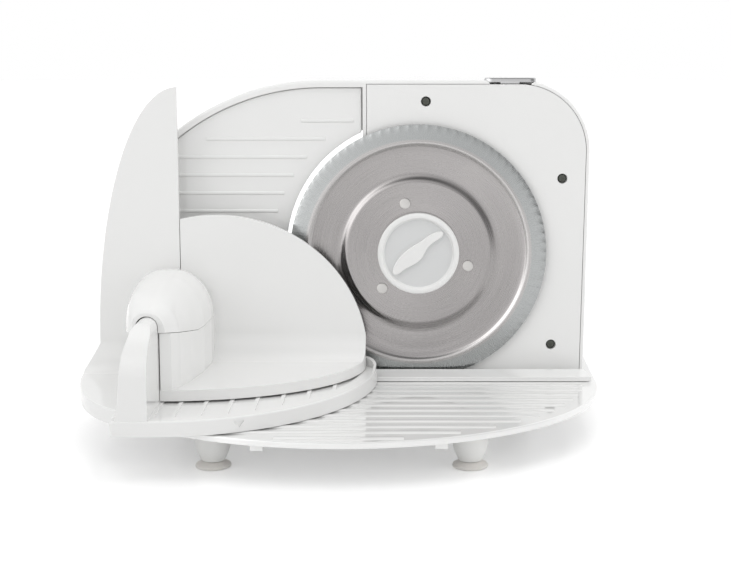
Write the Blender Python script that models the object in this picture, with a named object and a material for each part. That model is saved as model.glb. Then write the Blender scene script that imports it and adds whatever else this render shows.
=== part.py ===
"""Electric table slicer: base plate, housing, worm-driven serrated blade, thickness plate, carriage and pusher.

Metres, +Z up. X runs along the carriage's travel, the operator stands at -Y, and the blade's edge lies in
the machine's plane y = 0. Heights are counted from the table. The empty named machine moves everything so
that the origin is under the middle of the whole object, on the table.
"""

import math

import bmesh
import bpy

# Clearances, cutting overrun, and the step by which a joined shape stands back from the face it meets
gap = 0.0003
run = 0.0006
over = 0.003
step = 0.0005

# Base plate
plate_half = 0.1835
plate_front = 0.155
plate_line = 0.011
plate_rear = 0.092
plate_corner = 0.022
plate_top = 0.030
plate_edge = 0.0042
plate_skin = 0.0024
plate_rim = 0.003
plate_soft = 0.0012
rib_first = 0.0236
rib_pitch = 0.01325
rib_count = 11
rib_wide = 0.0066
rib_high = 0.0008
rib_root = 0.0005
rib_inset = 0.011
tab_x = 0.061
tab_y = 0.143
tab_wide = 0.0085
tab_deep = 0.006
tab_high = 0.003
web_thick = 0.002
web_pitch = 0.045
web_rear = 0.038

# Guide rail
rail_left = 0.176
rail_right = 0.1795
rail_slant = 0.0046
rail_front = 0.012
rail_back = 0.0035
rail_low_side = 0.0035
rail_high_side = 0.0077

# Feet
foot_front_x = 0.086
foot_front_y = 0.119
foot_rear_x = 0.125
foot_rear_y = 0.060
leg_top_radius = 0.0145
leg_low_radius = 0.0062
leg_flange = 0.0016
leg_low = 0.0092
cup_radius = 0.012
cup_lip = 0.0016
cup_neck_radius = 0.0052
cup_stem_radius = 0.003
cup_stem = 0.009
cup_hollow_radius = 0.0085
cup_hollow = 0.0015

# Blade, seen along its axis at x = blade_x; its edge clears the plate by blade_over
blade_x = 0.0515
blade_over = 0.0004
blade_radius = 0.0948
blade_thick = 0.001
blade_teeth = 84
tooth_deep = 0.0013
edge_thick = 0.0003
bevel_wide = 0.011
bevel_rise = 0.0019
crest_wide = 0.0025
crest_rise = 0.0023
step_wide = 0.003
hollow_outer = 0.0003
hollow_radius = 0.060
hollow_deep = 0.0011
crease_wide = 0.003
crease_deep = 0.0009
disc_radius = 0.0535
disc_rise = 0.0016
blade_hole = 0.009
rivet_circle = 0.038
rivet_first = 105
rivet_count = 3
rivet_radius = 0.004
rivet_head = 0.0006
rivet_shank = 0.0021
rivet_length = 0.0065

# Worm and worm wheel
module = 0.0016
wheel_teeth = 48
worm_starts = 2
worm_radius = 0.008
wheel_front = 0.024
wheel_wide = 0.010
worm_length = 0.026
root_clearance = 0.25
wheel_steps = 2
worm_layers = 26
tooth_root_share = 0.30
tooth_tip_share = 0.13
worm_tip_share = 0.11
worm_root_share = 0.24

# Blade carrier and axle
flange_radius = 0.042
flange_thick = 0.0033
drum_radius = 0.0335
drum_wall = 0.003
hub_radius = 0.0115
hub_recess_radius = 0.0092
hub_recess = 0.007
carrier_face = 0.0004
axle_radius = 0.004
axle_play = 0.00025
axle_front = 0.0016
axle_rear = 0.0505
bush_radius = 0.007
bush_front = 0.0352
bush_rear = 0.047
pin_radius = 0.0012
pin_half = 0.0062
pin_y = 0.0025
clip_radius = 0.0066
clip_thick = 0.001

# Locking knob
knob_radius = 0.0301
knob_ring = 0.0049
knob_slope = 0.0012
knob_front = 0.0075
knob_disc = 0.005
knob_back = 0.0019
knob_round = 0.0008
stem_radius = 0.0085
stem_bore = 0.0044
stem_groove = 0.0069
stem_end = 0.0058
groove_front = 0.001
groove_rear = 0.004
grip_half = 0.024
grip_wide = 0.0056
grip_lean = 0.8
grip_turn = 41.5
grip_front = 0.0074

# Housing: hood, motor block and panel
housing_front = 0.0035
housing_rear = 0.080
housing_over = 0.1268
housing_soft = 0.0022
housing_back_soft = 0.003
hood_left = 0.176
hood_middle = 0.020
hood_radius = 0.173
hood_wall = 0.005
hood_rear = 0.061
block_left = 0.0106
block_right = 0.178
block_taper = 0.003
block_corner = 0.052
block_wall = 0.0026
bulge_radius = 0.0468
panel_thick = 0.0024
panel_hole = 0.0412
top_screw_x = 0.057
top_screw_drop = 0.0154
side_screw_in = 0.0202
side_screw_drop = 0.0723
low_screw_in = 0.0273
low_screw_rise = 0.0247
screw_recess = 0.0037
screw_cup_wall = 0.0016
screw_cup = 0.0035
screw_head = 0.0033
screw_head_thick = 0.0016
screw_sink = 0.0024
screw_shank = 0.0015
screw_reach = 0.013
screw_slot = 0.0038
screw_slot_wide = 0.0009
screw_slot_deep = 0.0009
boss_radius = 0.0045
bore_play = 0.0004
boss_step = 0.0004
web_front = 0.058
web_right = 0.058
web_drop = 0.102
web_corner = 0.030
vent_first = 0.070
vent_pitch = 0.0085
vent_count = 9
vent_wide = 0.0035
vent_low = 0.148
vent_high = 0.196
inlet_x = 0.126
inlet_z = 0.052
inlet_radius = 0.0078
inlet_bore = 0.0042
inlet_flange = 0.0105
inlet_flange_thick = 0.0016
base_screw_near = 0.032
base_screw_far = 0.162
base_screw_fore = 0.018
base_screw_rear = 0.066
base_boss = 0.012

# Gear frame, motor and rotor
frame_front = 0.0385
frame_thick = 0.004
frame_pad_x = 0.024
frame_pad_z = 0.024
arm_right = 0.132
arm_rise = 0.0128
arm_tall = 0.012
cheek_thick = 0.004
cheek_first = 0.012
cheek_second = 0.036
cheek_rise = 0.014
cheek_half = 0.018
bearing_x = 0.026
bearing_thick = 0.005
bearing_half = 0.0065
post_radius = 0.004
motor_left = 0.086
motor_radius = 0.020
motor_length = 0.046
motor_soft = 0.002
motor_nose_radius = 0.0085
motor_nose = 0.004
cap_length = 0.008
cap_radius = 0.0185
shaft_radius = 0.0025
shaft_play = 0.0004
shaft_left = 0.024
shaft_right = 0.1505
fan_radius = 0.0185
fan_hub = 0.0055
fan_left = 0.1425
fan_wide = 0.007
fan_blades = 9
fan_blade_thick = 0.0014
fan_plate = 0.0014

# Power button and switch
button_left = 0.100
button_right = 0.138
button_front = 0.0038
button_rear = 0.015
button_proud = 0.0018
button_sink = 0.0011
button_round = 0.0011
button_travel = 0.0014
button_stem_wide = 0.014
button_stem_deep = 0.004
button_stem_drop = 0.010
switch_wide = 0.020
switch_deep = 0.011
switch_high = 0.016
switch_front = 0.0075
switch_cheek = 0.002
switch_cheek_drop = 0.026
plunger_radius = 0.0016
plunger_high = 0.0012

# Thickness plate, its guides and its dial
gauge_front = 0.0055
gauge_skin = 0.003
gauge_deep = 0.0075
gauge_lip = 0.002
gauge_low = 0.0015
gauge_side = 0.0018
gauge_under = 0.001
gauge_blade = 0.0033
gauge_rib_drop = 0.0296
gauge_rib_pitch = 0.0134
gauge_rib_count = 12
gauge_rib_wide = 0.0034
gauge_rib_high = 0.0009
gauge_rib_right = 0.0135
gauge_rib_reach = 0.236
gauge_rib_margin = 0.028
gauge_rib_left = 0.021
sleeve_radius = 0.0065
sleeve_rear = 0.034
rod_radius = 0.003
rod_play = 0.0004
rod_front = 0.0195
rod_far_x = 0.152
rod_low_z = 0.064
rod_near_x = 0.080
rod_high_drop = 0.018
dial_x = -0.115
dial_z = 0.095
nut_radius = 0.009
spindle_radius = 0.004
dial_radius = 0.027
dial_thick = 0.017
dial_lobes = 10
dial_lobe_deep = 0.0016
dial_skirt = 0.031
dial_skirt_thick = 0.003
gauge_back_room = 0.0095
gauge_fore_room = 0.0055

# Carriage
tray_x = -0.121
tray_y = 0.008
tray_half = 0.1425
tray_deep = 0.1498
tray_high = 0.0114
tray_rear = 0.005
tray_wall = 0.003
tray_end_x = 0.012
tray_end_y = 0.014
hand_x = -0.123
hand_y = 0.012
hand_half = 0.070
hand_deep = 0.127
tray_soft = 0.0012
rim_wide = 0.010
pocket_deep = 0.0024
pocket_back = 0.018
pocket_first = 0.0116
pocket_pitch = 0.0168
pocket_count = 8
pocket_rib = 0.0026
pocket_floor = 0.0024
hook_room = 0.0004
wall_right = -0.1225
wall_thick = 0.014
wall_high = 0.0699
wall_flare = 0.0098
wall_front = 0.1572
wall_crown = 0.043
wall_fall = 0.030
wall_flare_shares = (
    (0.0, 1.0), (0.09, 0.9), (0.18, 0.68), (0.3, 0.56), (0.5, 0.45), (0.67, 0.34), (0.84, 0.24)
)
sail_right = -0.125
sail_back = 0.0115
sail_thick = 0.003
sail_half = 0.060
sail_base = 0.030
sail_rise = 0.188
scoop = 0.020
scoop_left = -0.1928
scoop_shares = ((0.68, 0.32), (0.30, 0.70))
ear_thick = 0.0018
ear_high = 0.0072
ear_reach = 0.030
ear_left = 0.006
glide_radius = 0.005
glide_middle = 0.100
glide_front = 0.120
glide_right = 0.030
glide_rear = 0.080
glide_left = 0.160
glide_hand = 0.070
carriage_travel = 0.150

# Pusher
shield_x = -0.096
shield_z = 0.020
shield_half = 0.110
shield_rise = 0.105
shield_back = 0.0115
shield_thick = 0.003
pusher_low = 0.0128
pusher_floor_top = 0.0195
pusher_floor = 0.0027
pusher_line = 0.013
pusher_right = 0.0128
pusher_front = 0.111
pusher_fillet = 0.018
pusher_skirt = 0.0024
shield_foot = 0.006
grip_right = -0.0982
grip_nose = 0.0067
seam_front = 0.0590
seam_rear = 0.0520
seam_bend = 0.068
grip_shares = ((0.0, 0.0), (0.025, 0.06), (0.10, 0.33), (0.28, 0.61), (0.565, 0.90), (0.83, 1.0), (1.0, 1.0))
spike_long = 0.0028
spike_wide = 0.0032
spike_pitch_x = 0.018
spike_pitch_z = 0.016
spike_margin = 0.014
cap_rear = 0.0150
cap_front = 0.113
cap_left = -0.152
cap_crown = 0.0884
cap_left_power = 0.62
flare_room = 0.0026
cap_right_power = 1.0
cap_points = 12
cap_length_shares = (0.0, 0.03, 0.09, 0.22, 0.40, 0.56, 0.70, 0.82, 0.92, 0.97, 1.0)
cap_left_shares = (0.10, 0.04, 0.01, 0.0, 0.0, 0.02, 0.05, 0.09, 0.14, 0.185, 0.235)
cap_right_shares = (0.02, 0.0, 0.0, 0.0, 0.0, 0.0, 0.0, 0.0, 0.0, 0.01, 0.04)
cap_rise_shares = (0.74, 0.87, 0.95, 1.0, 0.98, 0.93, 0.84, 0.73, 0.60, 0.53, 0.46)
pusher_travel = 0.085

# Places that follow from the sizes above
web_places = (-2 * web_pitch, -web_pitch, 0, web_rear)
blade_z = plate_top + blade_over + blade_radius
housing_top = blade_z + housing_over
web_top = housing_top - web_drop
base_screw_x = (base_screw_near, base_screw_far)
base_screw_y = (base_screw_fore, base_screw_rear)
screw_places = (
    (top_screw_x, housing_top - top_screw_drop),
    (block_right - side_screw_in, housing_top - side_screw_drop),
    (block_right - low_screw_in, plate_top + low_screw_rise),
)
arm_low = blade_z + arm_rise
arm_high = arm_low + arm_tall
cheek_places = (motor_left + cheek_first, motor_left + cheek_second)
button_top = housing_top + button_proud
button_low = housing_top - button_sink
button_stem_low = housing_top - button_stem_drop
switch_cheek_low = housing_top - switch_cheek_drop
gauge_rib_first = housing_top - gauge_rib_drop
gauge_rib_rise = hood_radius - gauge_rib_margin
rod_places = ((-rod_far_x, rod_low_z), (-rod_near_x, web_top - rod_high_drop))
glide_places = (
    (-glide_middle, -glide_front),
    (-glide_right, -glide_rear),
    (-glide_left, -glide_hand),
)
plate_seat = plate_top + gap
tray_low = plate_top + rib_high + gap
tray_top = plate_top + tray_high
wall_top = plate_top + wall_high
wall_round = wall_thick / 2
worm_pitch = math.pi * module
wheel_radius = module * wheel_teeth / 2
wheel_middle = wheel_front + wheel_wide / 2
worm_z = blade_z + wheel_radius + worm_radius
panel_back = housing_front + panel_thick
hood_z = housing_top - hood_radius
rear_wall = housing_rear - block_wall
frame_back = frame_front + frame_thick
button_middle = (button_left + button_right) / 2
span_left = hand_x - hand_half
span_right = plate_half
span_front = plate_line + plate_front
span_rear = plate_rear


def arc(centre, radii, start, end, steps):
    """Points on an elliptical arc, both ends included, with its angles in degrees."""
    points = []
    for i in range(steps + 1):
        angle = math.radians(start + (end - start) * i / steps)
        points.append((centre[0] + radii[0] * math.cos(angle), centre[1] + radii[1] * math.sin(angle)))
    return points


def box_loop(low_u, high_u, low_v, high_v):
    return [(low_u, low_v), (high_u, low_v), (high_u, high_v), (low_u, high_v)]


def placed(axis, u, v, w):
    """The point that lies at (u, v) in the section and at w along the axis."""
    return {"x": (w, u, v), "y": (u, w, v), "z": (u, v, w)}[axis]


def add_rings(mesh, rings):
    """Joins rings of equally many points, one after another, and closes both ends."""
    verts = [[mesh.verts.new(point) for point in ring] for ring in rings]
    for low, high in zip(verts, verts[1:]):
        for i in range(len(low)):
            j = (i + 1) % len(low)
            mesh.faces.new((low[i], low[j], high[j], high[i]))
    return mesh.faces.new(verts[0]), mesh.faces.new(verts[-1])


def add_prism(mesh, loop, axis, low, high, low_soft=0, high_soft=0, soft_steps=2):
    """Extrudes a section between two places on an axis, with either end's rim rounded if asked."""
    rings = [[placed(axis, u, v, w) for u, v in loop] for w in (low, high)]
    caps = add_rings(mesh, rings)
    bmesh.ops.recalc_face_normals(mesh, faces=mesh.faces)
    for cap, soft in zip(caps, (low_soft, high_soft)):
        if soft:
            bmesh.ops.bevel(
                mesh, geom=cap.edges[:], offset=soft, segments=soft_steps, profile=0.5, affect="EDGES"
            )


def add_twisted(mesh, loop, axis, low, high, turn, steps):
    """Extrudes a section that turns about the axis by turn radians in all, half of it at the middle."""
    rings = []
    for i in range(steps + 1):
        share = i / steps
        angle = turn * (share - 1 / 2)
        cos, sin = math.cos(angle), math.sin(angle)
        w = low + (high - low) * share
        rings.append([placed(axis, u * cos - v * sin, u * sin + v * cos, w) for u, v in loop])
    add_rings(mesh, rings)
    bmesh.ops.recalc_face_normals(mesh, faces=mesh.faces)


def add_turned(mesh, profile, axis, steps, centre=(0, 0)):
    """Turns a closed profile of (radius, place) points about an axis through centre."""
    rings = []
    for radius, w in profile:
        if radius:
            around = arc(centre, (radius, radius), 0, 360 - 360 / steps, steps - 1)
            rings.append([mesh.verts.new(placed(axis, u, v, w)) for u, v in around])
        else:
            rings.append([mesh.verts.new(placed(axis, centre[0], centre[1], w))])
    pairs = list(zip(rings, rings[1:]))
    if profile[0][0]:
        pairs.append((rings[-1], rings[0]))
    for low, high in pairs:
        for i in range(steps):
            j = (i + 1) % steps
            corners = [low[i % len(low)], low[j % len(low)], high[j % len(high)], high[i % len(high)]]
            mesh.faces.new(list(dict.fromkeys(corners)))
    bmesh.ops.recalc_face_normals(mesh, faces=mesh.faces)


def add_rod(mesh, radius, axis, low, high, steps, centre=(0, 0)):
    add_turned(mesh, [(0, low), (radius, low), (radius, high), (0, high)], axis, steps, centre)


def solid(name, mesh, finish=None, parent=None, sharp=40):
    """Makes an object from a mesh. Without a finish it is a helper to cut or join other pieces with."""
    data = bpy.data.meshes.new(name)
    mesh.to_mesh(data)
    mesh.free()
    piece = bpy.data.objects.new(name, data)
    bpy.context.scene.collection.objects.link(piece)
    piece.parent = parent
    if finish is None:
        piece.hide_render = True
        piece.display_type = "WIRE"
    else:
        data.materials.append(finish)
        data.shade_smooth()
        data.set_sharp_from_angle(angle=math.radians(sharp))
    return piece


def helper(name, parent, *shapes):
    """A hidden object that holds the shapes, each a call that adds one to a mesh."""
    mesh = bmesh.new()
    for shape in shapes:
        shape(mesh)
    return solid(name, mesh, parent=parent)


def combine(piece, other, operation):
    change = piece.modifiers.new(other.name, "BOOLEAN")
    change.operation = operation
    change.solver = "EXACT"
    change.object = other


def cut(piece, other):
    combine(piece, other, "DIFFERENCE")


def join(piece, other):
    combine(piece, other, "UNION")


def keep(piece, other):
    combine(piece, other, "INTERSECT")


def prism_of(*values, **more):
    return lambda mesh: add_prism(mesh, *values, **more)


def rod_of(*values):
    return lambda mesh: add_rod(mesh, *values)


def turned_of(*values):
    return lambda mesh: add_turned(mesh, *values)


def make(name, finish, parent, *shapes, sharp=40):
    mesh = bmesh.new()
    for shape in shapes:
        shape(mesh)
    return solid(name, mesh, finish, parent, sharp)


def material(name, colour, roughness, metallic):
    finish = bpy.data.materials.new(name)
    finish.use_nodes = True
    shader = finish.node_tree.nodes["Principled BSDF"]
    shader.inputs["Base Color"].default_value = (*colour, 1)
    shader.inputs["Roughness"].default_value = roughness
    shader.inputs["Metallic"].default_value = metallic
    return finish


def empty(name, parent, place):
    point = bpy.data.objects.new(name, None)
    bpy.context.scene.collection.objects.link(point)
    point.parent = parent
    point.location = place
    return point


def plate_loop(inset):
    """Outline of the base plate from above: a half ellipse in front, rounded corners behind."""
    half, corner = plate_half - inset, plate_corner - inset
    rear = plate_rear - inset
    loop = arc((0, -plate_line), (half, plate_front - inset), 180, 360, 48)
    loop += arc((half - corner, rear - corner), (corner, corner), 0, 90, 6)
    loop += arc((corner - half, rear - corner), (corner, corner), 90, 180, 6)
    return loop


def plate_half_at(depth):
    """Half the width of the plate's outline at a depth in front of the blade."""
    share = (depth - plate_line) / plate_front
    return plate_half * math.sqrt(1 - share * share)


def make_base(white, parent):
    low = plate_top - plate_edge
    plate = make(
        "base_plate",
        white,
        parent,
        prism_of(plate_loop(0), "z", low, plate_top, high_soft=plate_soft),
    )
    under = plate_top - plate_skin
    cut(plate, helper("plate_hollow", parent, prism_of(plate_loop(plate_rim), "z", low - over, under)))
    webs = []
    for y in web_places:
        half = plate_half_at(max(-y, plate_line)) - plate_rim / 2
        webs.append(prism_of(box_loop(-half, half, y, y + web_thick), "z", low, under + rib_root))
    join(plate, helper("plate_webs", parent, *webs))
    ribs = []
    for i in range(rib_count):
        depth = rib_first + i * rib_pitch
        half = plate_half_at(depth + rib_wide / 2) - rib_inset
        crown = arc((-depth, plate_top), (rib_wide / 2, rib_high), 0, 180, 4)
        foot = [(-depth - rib_wide / 2, plate_top - rib_root), (-depth + rib_wide / 2, plate_top - rib_root)]
        ribs.append(prism_of(crown + foot, "x", -half, half))
    join(plate, helper("plate_ribs", parent, *ribs))
    tabs = []
    for side in (-1, 1):
        x = side * tab_x
        loop = box_loop(x - tab_wide / 2, x + tab_wide / 2, -tab_y - tab_deep / 2, -tab_y + tab_deep / 2)
        tabs.append(prism_of(loop, "z", low - tab_high, under + rib_root))
    join(plate, helper("plate_tabs", parent, *tabs))
    holes = []
    for x in base_screw_x:
        for y in base_screw_y:
            holes.append(rod_of(screw_shank + bore_play, "z", low - over, plate_top + over, 12, (x, y)))
    cut(plate, helper("plate_holes", parent, *holes))


def make_rail(white, parent):
    """The wedge-topped rail that the carriage hooks over, with its right end cut on a slant."""
    section = [
        (-rail_front, plate_seat),
        (-rail_front, plate_top + rail_low_side),
        (-rail_back, plate_top + rail_high_side),
        (-rail_back, plate_seat),
    ]
    slant = rail_slant / (rail_front - rail_back)
    left = [(-rail_left, y, z) for y, z in section]
    right = [(rail_right - slant * (y + rail_front), y, z) for y, z in section]
    mesh = bmesh.new()
    add_rings(mesh, [left, right])
    bmesh.ops.recalc_face_normals(mesh, faces=mesh.faces)
    solid("guide_rail", mesh, white, parent)


def make_feet(white, rubber, parent):
    """Four moulded cones under the plate, each with a suction cup pushed up into it."""
    top = plate_top - plate_skin - gap
    places = {
        "front_left": (-foot_front_x, -foot_front_y),
        "front_right": (foot_front_x, -foot_front_y),
        "rear_left": (-foot_rear_x, foot_rear_y),
        "rear_right": (foot_rear_x, foot_rear_y),
    }
    bore = cup_stem_radius + gap
    bore_top = leg_low + cup_stem + gap
    leg = [
        (0, top),
        (leg_top_radius, top),
        (leg_top_radius, top - leg_flange),
        ((leg_top_radius + leg_low_radius) / 2, (top + leg_low) / 2 + leg_flange),
        (leg_low_radius, leg_low),
        (bore, leg_low),
        (bore, bore_top),
        (0, bore_top),
    ]
    neck = leg_low - gap
    cup = [
        (0, cup_hollow),
        (cup_hollow_radius, 0),
        (cup_radius, 0),
        (cup_radius, cup_lip),
        (cup_neck_radius, (cup_lip + neck) / 2),
        (cup_neck_radius, neck),
        (cup_stem_radius, neck),
        (cup_stem_radius, leg_low + cup_stem),
        (0, leg_low + cup_stem),
    ]
    for name, place in places.items():
        make("leg_" + name, white, parent, turned_of(leg, "z", 16, place))
        make("suction_cup_" + name, rubber, parent, turned_of(cup, "z", 16, place))


def block_loop(inset):
    """Outline of the motor block from the front, drawn in by inset, bulging left round the worm wheel."""
    left, low, top = block_left + inset, plate_seat + inset, housing_top - inset
    right, corner, bulge = block_right - inset, block_corner - inset, bulge_radius - inset
    swing = math.degrees(math.acos((blade_x - left) / bulge))
    loop = [(left, low)]
    loop += arc((blade_x, blade_z), (bulge, bulge), 180 + swing, 180 - swing, 8)
    loop += [(left, top)]
    loop += arc((right - corner, top - corner), (corner, corner), 90, 0, 12)
    loop += [(right - block_taper, low)]
    return loop


def bulge_down(inset, above, below):
    """The block's left side from above to below, for the outline of the space beside it."""
    left, bulge = block_left + inset, bulge_radius - inset
    swing = math.degrees(math.acos((blade_x - left) / bulge))
    around = arc((blade_x, blade_z), (bulge, bulge), 180 - swing, 180 + swing, 8)
    return [(left, above)] + around + [(left, below)]


def hood_arc(inset, steps):
    """The hood's arc from its upright left side to the top, drawn in by inset."""
    radius = hood_radius - inset
    start = math.degrees(math.acos((hood_left - inset - hood_middle) / radius))
    return arc((-hood_middle, hood_z), (radius, radius), 180 - start, 90, steps)


def make_housing(white, parent):
    """Hood and motor block in one moulding, open in front for the panel and under the hood for the slices."""
    outline = [(-hood_left, plate_seat)] + hood_arc(0, 16)
    corner = (block_right - block_corner, housing_top - block_corner)
    outline += arc(corner, (block_corner, block_corner), 90, 0, 12)
    outline += [(block_right - block_taper, plate_seat)]
    housing = make(
        "housing",
        white,
        parent,
        prism_of(
            outline, "y", housing_front, housing_rear, low_soft=housing_soft, high_soft=housing_back_soft
        ),
    )
    low, inner_top = plate_seat - over, housing_top - hood_wall
    left = -hood_left + hood_wall
    arch = [(left, low)] + hood_arc(hood_wall, 16) + bulge_down(0, inner_top, low)
    cut(housing, helper("hood_opening", parent, prism_of(arch, "y", housing_front - over, web_front)))
    rear_arch = [(-web_right, low)]
    rear_arch += arc((-web_right - web_corner, web_top - web_corner), (web_corner, web_corner), 0, 90, 6)
    rear_arch += [(left, web_top)] + hood_arc(hood_wall, 16) + bulge_down(0, inner_top, low)
    cut(housing, helper("slice_way", parent, prism_of(rear_arch, "y", web_front - over, housing_rear + over)))
    behind = [(-hood_left - over, low), (-hood_left - over, housing_top + over)]
    behind += bulge_down(0, housing_top + over, low)
    cut(housing, helper("behind_hood", parent, prism_of(behind, "y", hood_rear, housing_rear + over)))
    cavity = block_loop(block_wall)
    cut(housing, helper("motor_room", parent, prism_of(cavity, "y", housing_front - over, rear_wall)))

    boss_front = panel_back + screw_cup + gap + boss_step
    bosses = [
        rod_of(boss_radius, "y", boss_front, rear_wall + block_wall / 2, 16, place) for place in screw_places
    ]
    inner_low = plate_seat + block_wall / 2
    for x in base_screw_x:
        for y in base_screw_y:
            bosses.append(rod_of(boss_radius, "z", inner_low, inner_low + base_boss, 12, (x, y)))
    cheek_top = housing_top - block_wall / 2
    for side in (-1, 1):
        inner = button_middle + side * (switch_wide / 2 + gap)
        ends = sorted((inner, inner + side * switch_cheek))
        loop = box_loop(*ends, switch_front, switch_front + switch_deep)
        bosses.append(prism_of(loop, "z", switch_cheek_low, cheek_top))
    join(housing, helper("housing_bosses", parent, *bosses))

    bores = [
        rod_of(screw_shank + bore_play, "y", boss_front - over, boss_front + screw_reach, 12, place)
        for place in screw_places
    ]
    for x in base_screw_x:
        for y in base_screw_y:
            reach = inner_low + base_boss - boss_step
            bores.append(rod_of(screw_shank + bore_play, "z", plate_seat - over, reach, 12, (x, y)))
    for x, z in rod_places:
        bores.append(rod_of(rod_radius + rod_play, "y", web_front - over, hood_rear + over, 16, (x, z)))
    hole = spindle_radius + rod_play
    bores.append(rod_of(hole, "y", web_front - over, hood_rear + over, 16, (dial_x, dial_z)))
    bores.append(rod_of(inlet_radius, "y", rear_wall - over, housing_rear + over, 20, (inlet_x, inlet_z)))
    for i in range(vent_count):
        x = vent_first + i * vent_pitch
        loop = box_loop(x, x + vent_wide, vent_low, vent_high)
        bores.append(prism_of(loop, "y", rear_wall - over, housing_rear + over))
    slot = box_loop(button_left - run, button_right + run, housing_front - over, button_rear + run)
    bores.append(prism_of(slot, "z", housing_top - block_wall - over / 2, housing_top + over))
    cut(housing, helper("housing_bores", parent, *bores))


def cross_loop(reach, width, centre):
    """The outline of a cross recess: four arms of one width."""
    half = width / 2
    corners = [(half, half), (half, reach), (-half, reach), (-half, half)]
    loop = []
    for turn in range(4):
        for u, v in corners:
            for _ in range(turn):
                u, v = -v, u
            loop.append((centre[0] + u, centre[1] + v))
    return loop


def make_panel(white, steel, parent):
    """The flat panel in front of the motor room, and its three screws in their cups."""
    panel = make(
        "front_panel",
        white,
        parent,
        prism_of(block_loop(block_wall + gap), "y", housing_front, panel_back),
    )
    cup_end = panel_back + screw_cup
    cups = [
        rod_of(screw_recess + screw_cup_wall, "y", housing_front + panel_thick / 2, cup_end, 20, place)
        for place in screw_places
    ]
    join(panel, helper("panel_cups", parent, *cups))
    seat = housing_front + screw_sink + screw_head_thick + gap
    holes = [rod_of(panel_hole, "y", housing_front - over, panel_back + over, 48, (blade_x, blade_z))]
    for place in screw_places:
        hole = screw_shank + bore_play
        well = [(0, housing_front - over), (screw_recess, housing_front - over), (screw_recess, seat)]
        well += [(hole, seat), (hole, cup_end + over), (0, cup_end + over)]
        holes.append(turned_of(well, "y", 20, place))
    cut(panel, helper("panel_holes", parent, *holes))

    head = housing_front + screw_sink
    under = head + screw_head_thick
    for i, place in enumerate(screw_places, 1):
        profile = [(0, head), (screw_head, head), (screw_head, under), (screw_shank, under)]
        profile += [(screw_shank, under + screw_reach), (0, under + screw_reach)]
        screw = make(f"panel_screw_{i}", steel, parent, turned_of(profile, "y", 16, place))
        cross = cross_loop(screw_slot / 2, screw_slot_wide, place)
        deep = head + screw_slot_deep
        cut(screw, helper(f"panel_screw_{i}_cross", parent, prism_of(cross, "y", head - over, deep)))


def make_base_screws(steel, parent):
    """Screws that hold the housing down through the plate."""
    head = plate_top - plate_skin - gap
    tip = plate_seat + base_boss
    profile = [(0, head - screw_head_thick), (screw_head, head - screw_head_thick), (screw_head, head)]
    profile += [(screw_shank, head), (screw_shank, tip), (0, tip)]
    number = 0
    for x in base_screw_x:
        for y in base_screw_y:
            number += 1
            make(f"base_screw_{number}", steel, parent, turned_of(profile, "z", 12, (x, y)))


def make_inlet(rubber, parent):
    """The grommet in the back wall that a supply lead would pass through."""
    out, inside = housing_rear + gap, rear_wall - gap
    neck = inlet_radius - gap
    profile = [
        (inlet_bore, inside - inlet_flange_thick),
        (inlet_flange, inside - inlet_flange_thick),
        (inlet_flange, inside),
        (neck, inside),
        (neck, out),
        (inlet_flange, out),
        (inlet_flange, out + inlet_flange_thick),
        (inlet_bore, out + inlet_flange_thick),
    ]
    make("cord_grommet", rubber, parent, turned_of(profile, "y", 20, (inlet_x, inlet_z)))


def make_gear_frame(dark, parent):
    """Moulded frame behind the wheel: it holds the blade's bush, the worm's outer bearing and the motor."""
    axle_hole = bush_radius + gap
    left, right = blade_x - frame_pad_x, blade_x + frame_pad_x
    near_bearing, far_bearing = bearing_x - step, bearing_x + bearing_thick + step
    outline = [
        (left, blade_z - frame_pad_z),
        (right, blade_z - frame_pad_z),
        (right, arm_low),
        (arm_right, arm_low),
        (arm_right, arm_high),
        (far_bearing, arm_high),
        (far_bearing, worm_z + bearing_half + step),
        (near_bearing, worm_z + bearing_half + step),
        (near_bearing, arm_high),
        (left, arm_high - frame_thick),
    ]
    centre = (wheel_middle, worm_z)
    motor_end = motor_left + motor_length + gap
    frame = make("gear_frame", dark, parent, prism_of(outline, "y", frame_front, frame_back))
    parts = []
    low, high = worm_z - bearing_half, worm_z + bearing_half
    far = frame_back - step
    block = box_loop(wheel_middle - bearing_half, far, low, high)
    parts.append(prism_of(block, "x", bearing_x, bearing_x + bearing_thick))
    for x in cheek_places:
        loop = box_loop(wheel_middle - cheek_half, far, arm_low + step, arm_high + cheek_rise)
        parts.append(prism_of(loop, "x", x, x + cheek_thick))
    inset = post_radius + step
    posts = (
        (left + inset, blade_z - frame_pad_z + inset),
        (right - inset, blade_z - frame_pad_z + inset),
        (arm_right - inset, (arm_low + arm_high) / 2),
        (left + inset, arm_low),
    )
    for place in posts:
        parts.append(rod_of(post_radius, "y", frame_front + frame_thick / 2, rear_wall - gap, 12, place))
    join(frame, helper("frame_parts", parent, *parts))
    holes = [
        rod_of(axle_hole, "y", frame_front - over, frame_back + over, 24, (blade_x, blade_z)),
        rod_of(shaft_radius + shaft_play, "x", bearing_x - over, far_bearing + over, 16, centre),
        rod_of(motor_radius + gap, "x", motor_left, motor_end, 40, centre),
    ]
    cut(frame, helper("frame_holes", parent, *holes))


def make_bush(bronze, parent):
    inner = axle_radius + axle_play
    profile = [(inner, bush_front), (bush_radius, bush_front), (bush_radius, bush_rear), (inner, bush_rear)]
    make("axle_bush", bronze, parent, turned_of(profile, "y", 24, (blade_x, blade_z)))


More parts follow.
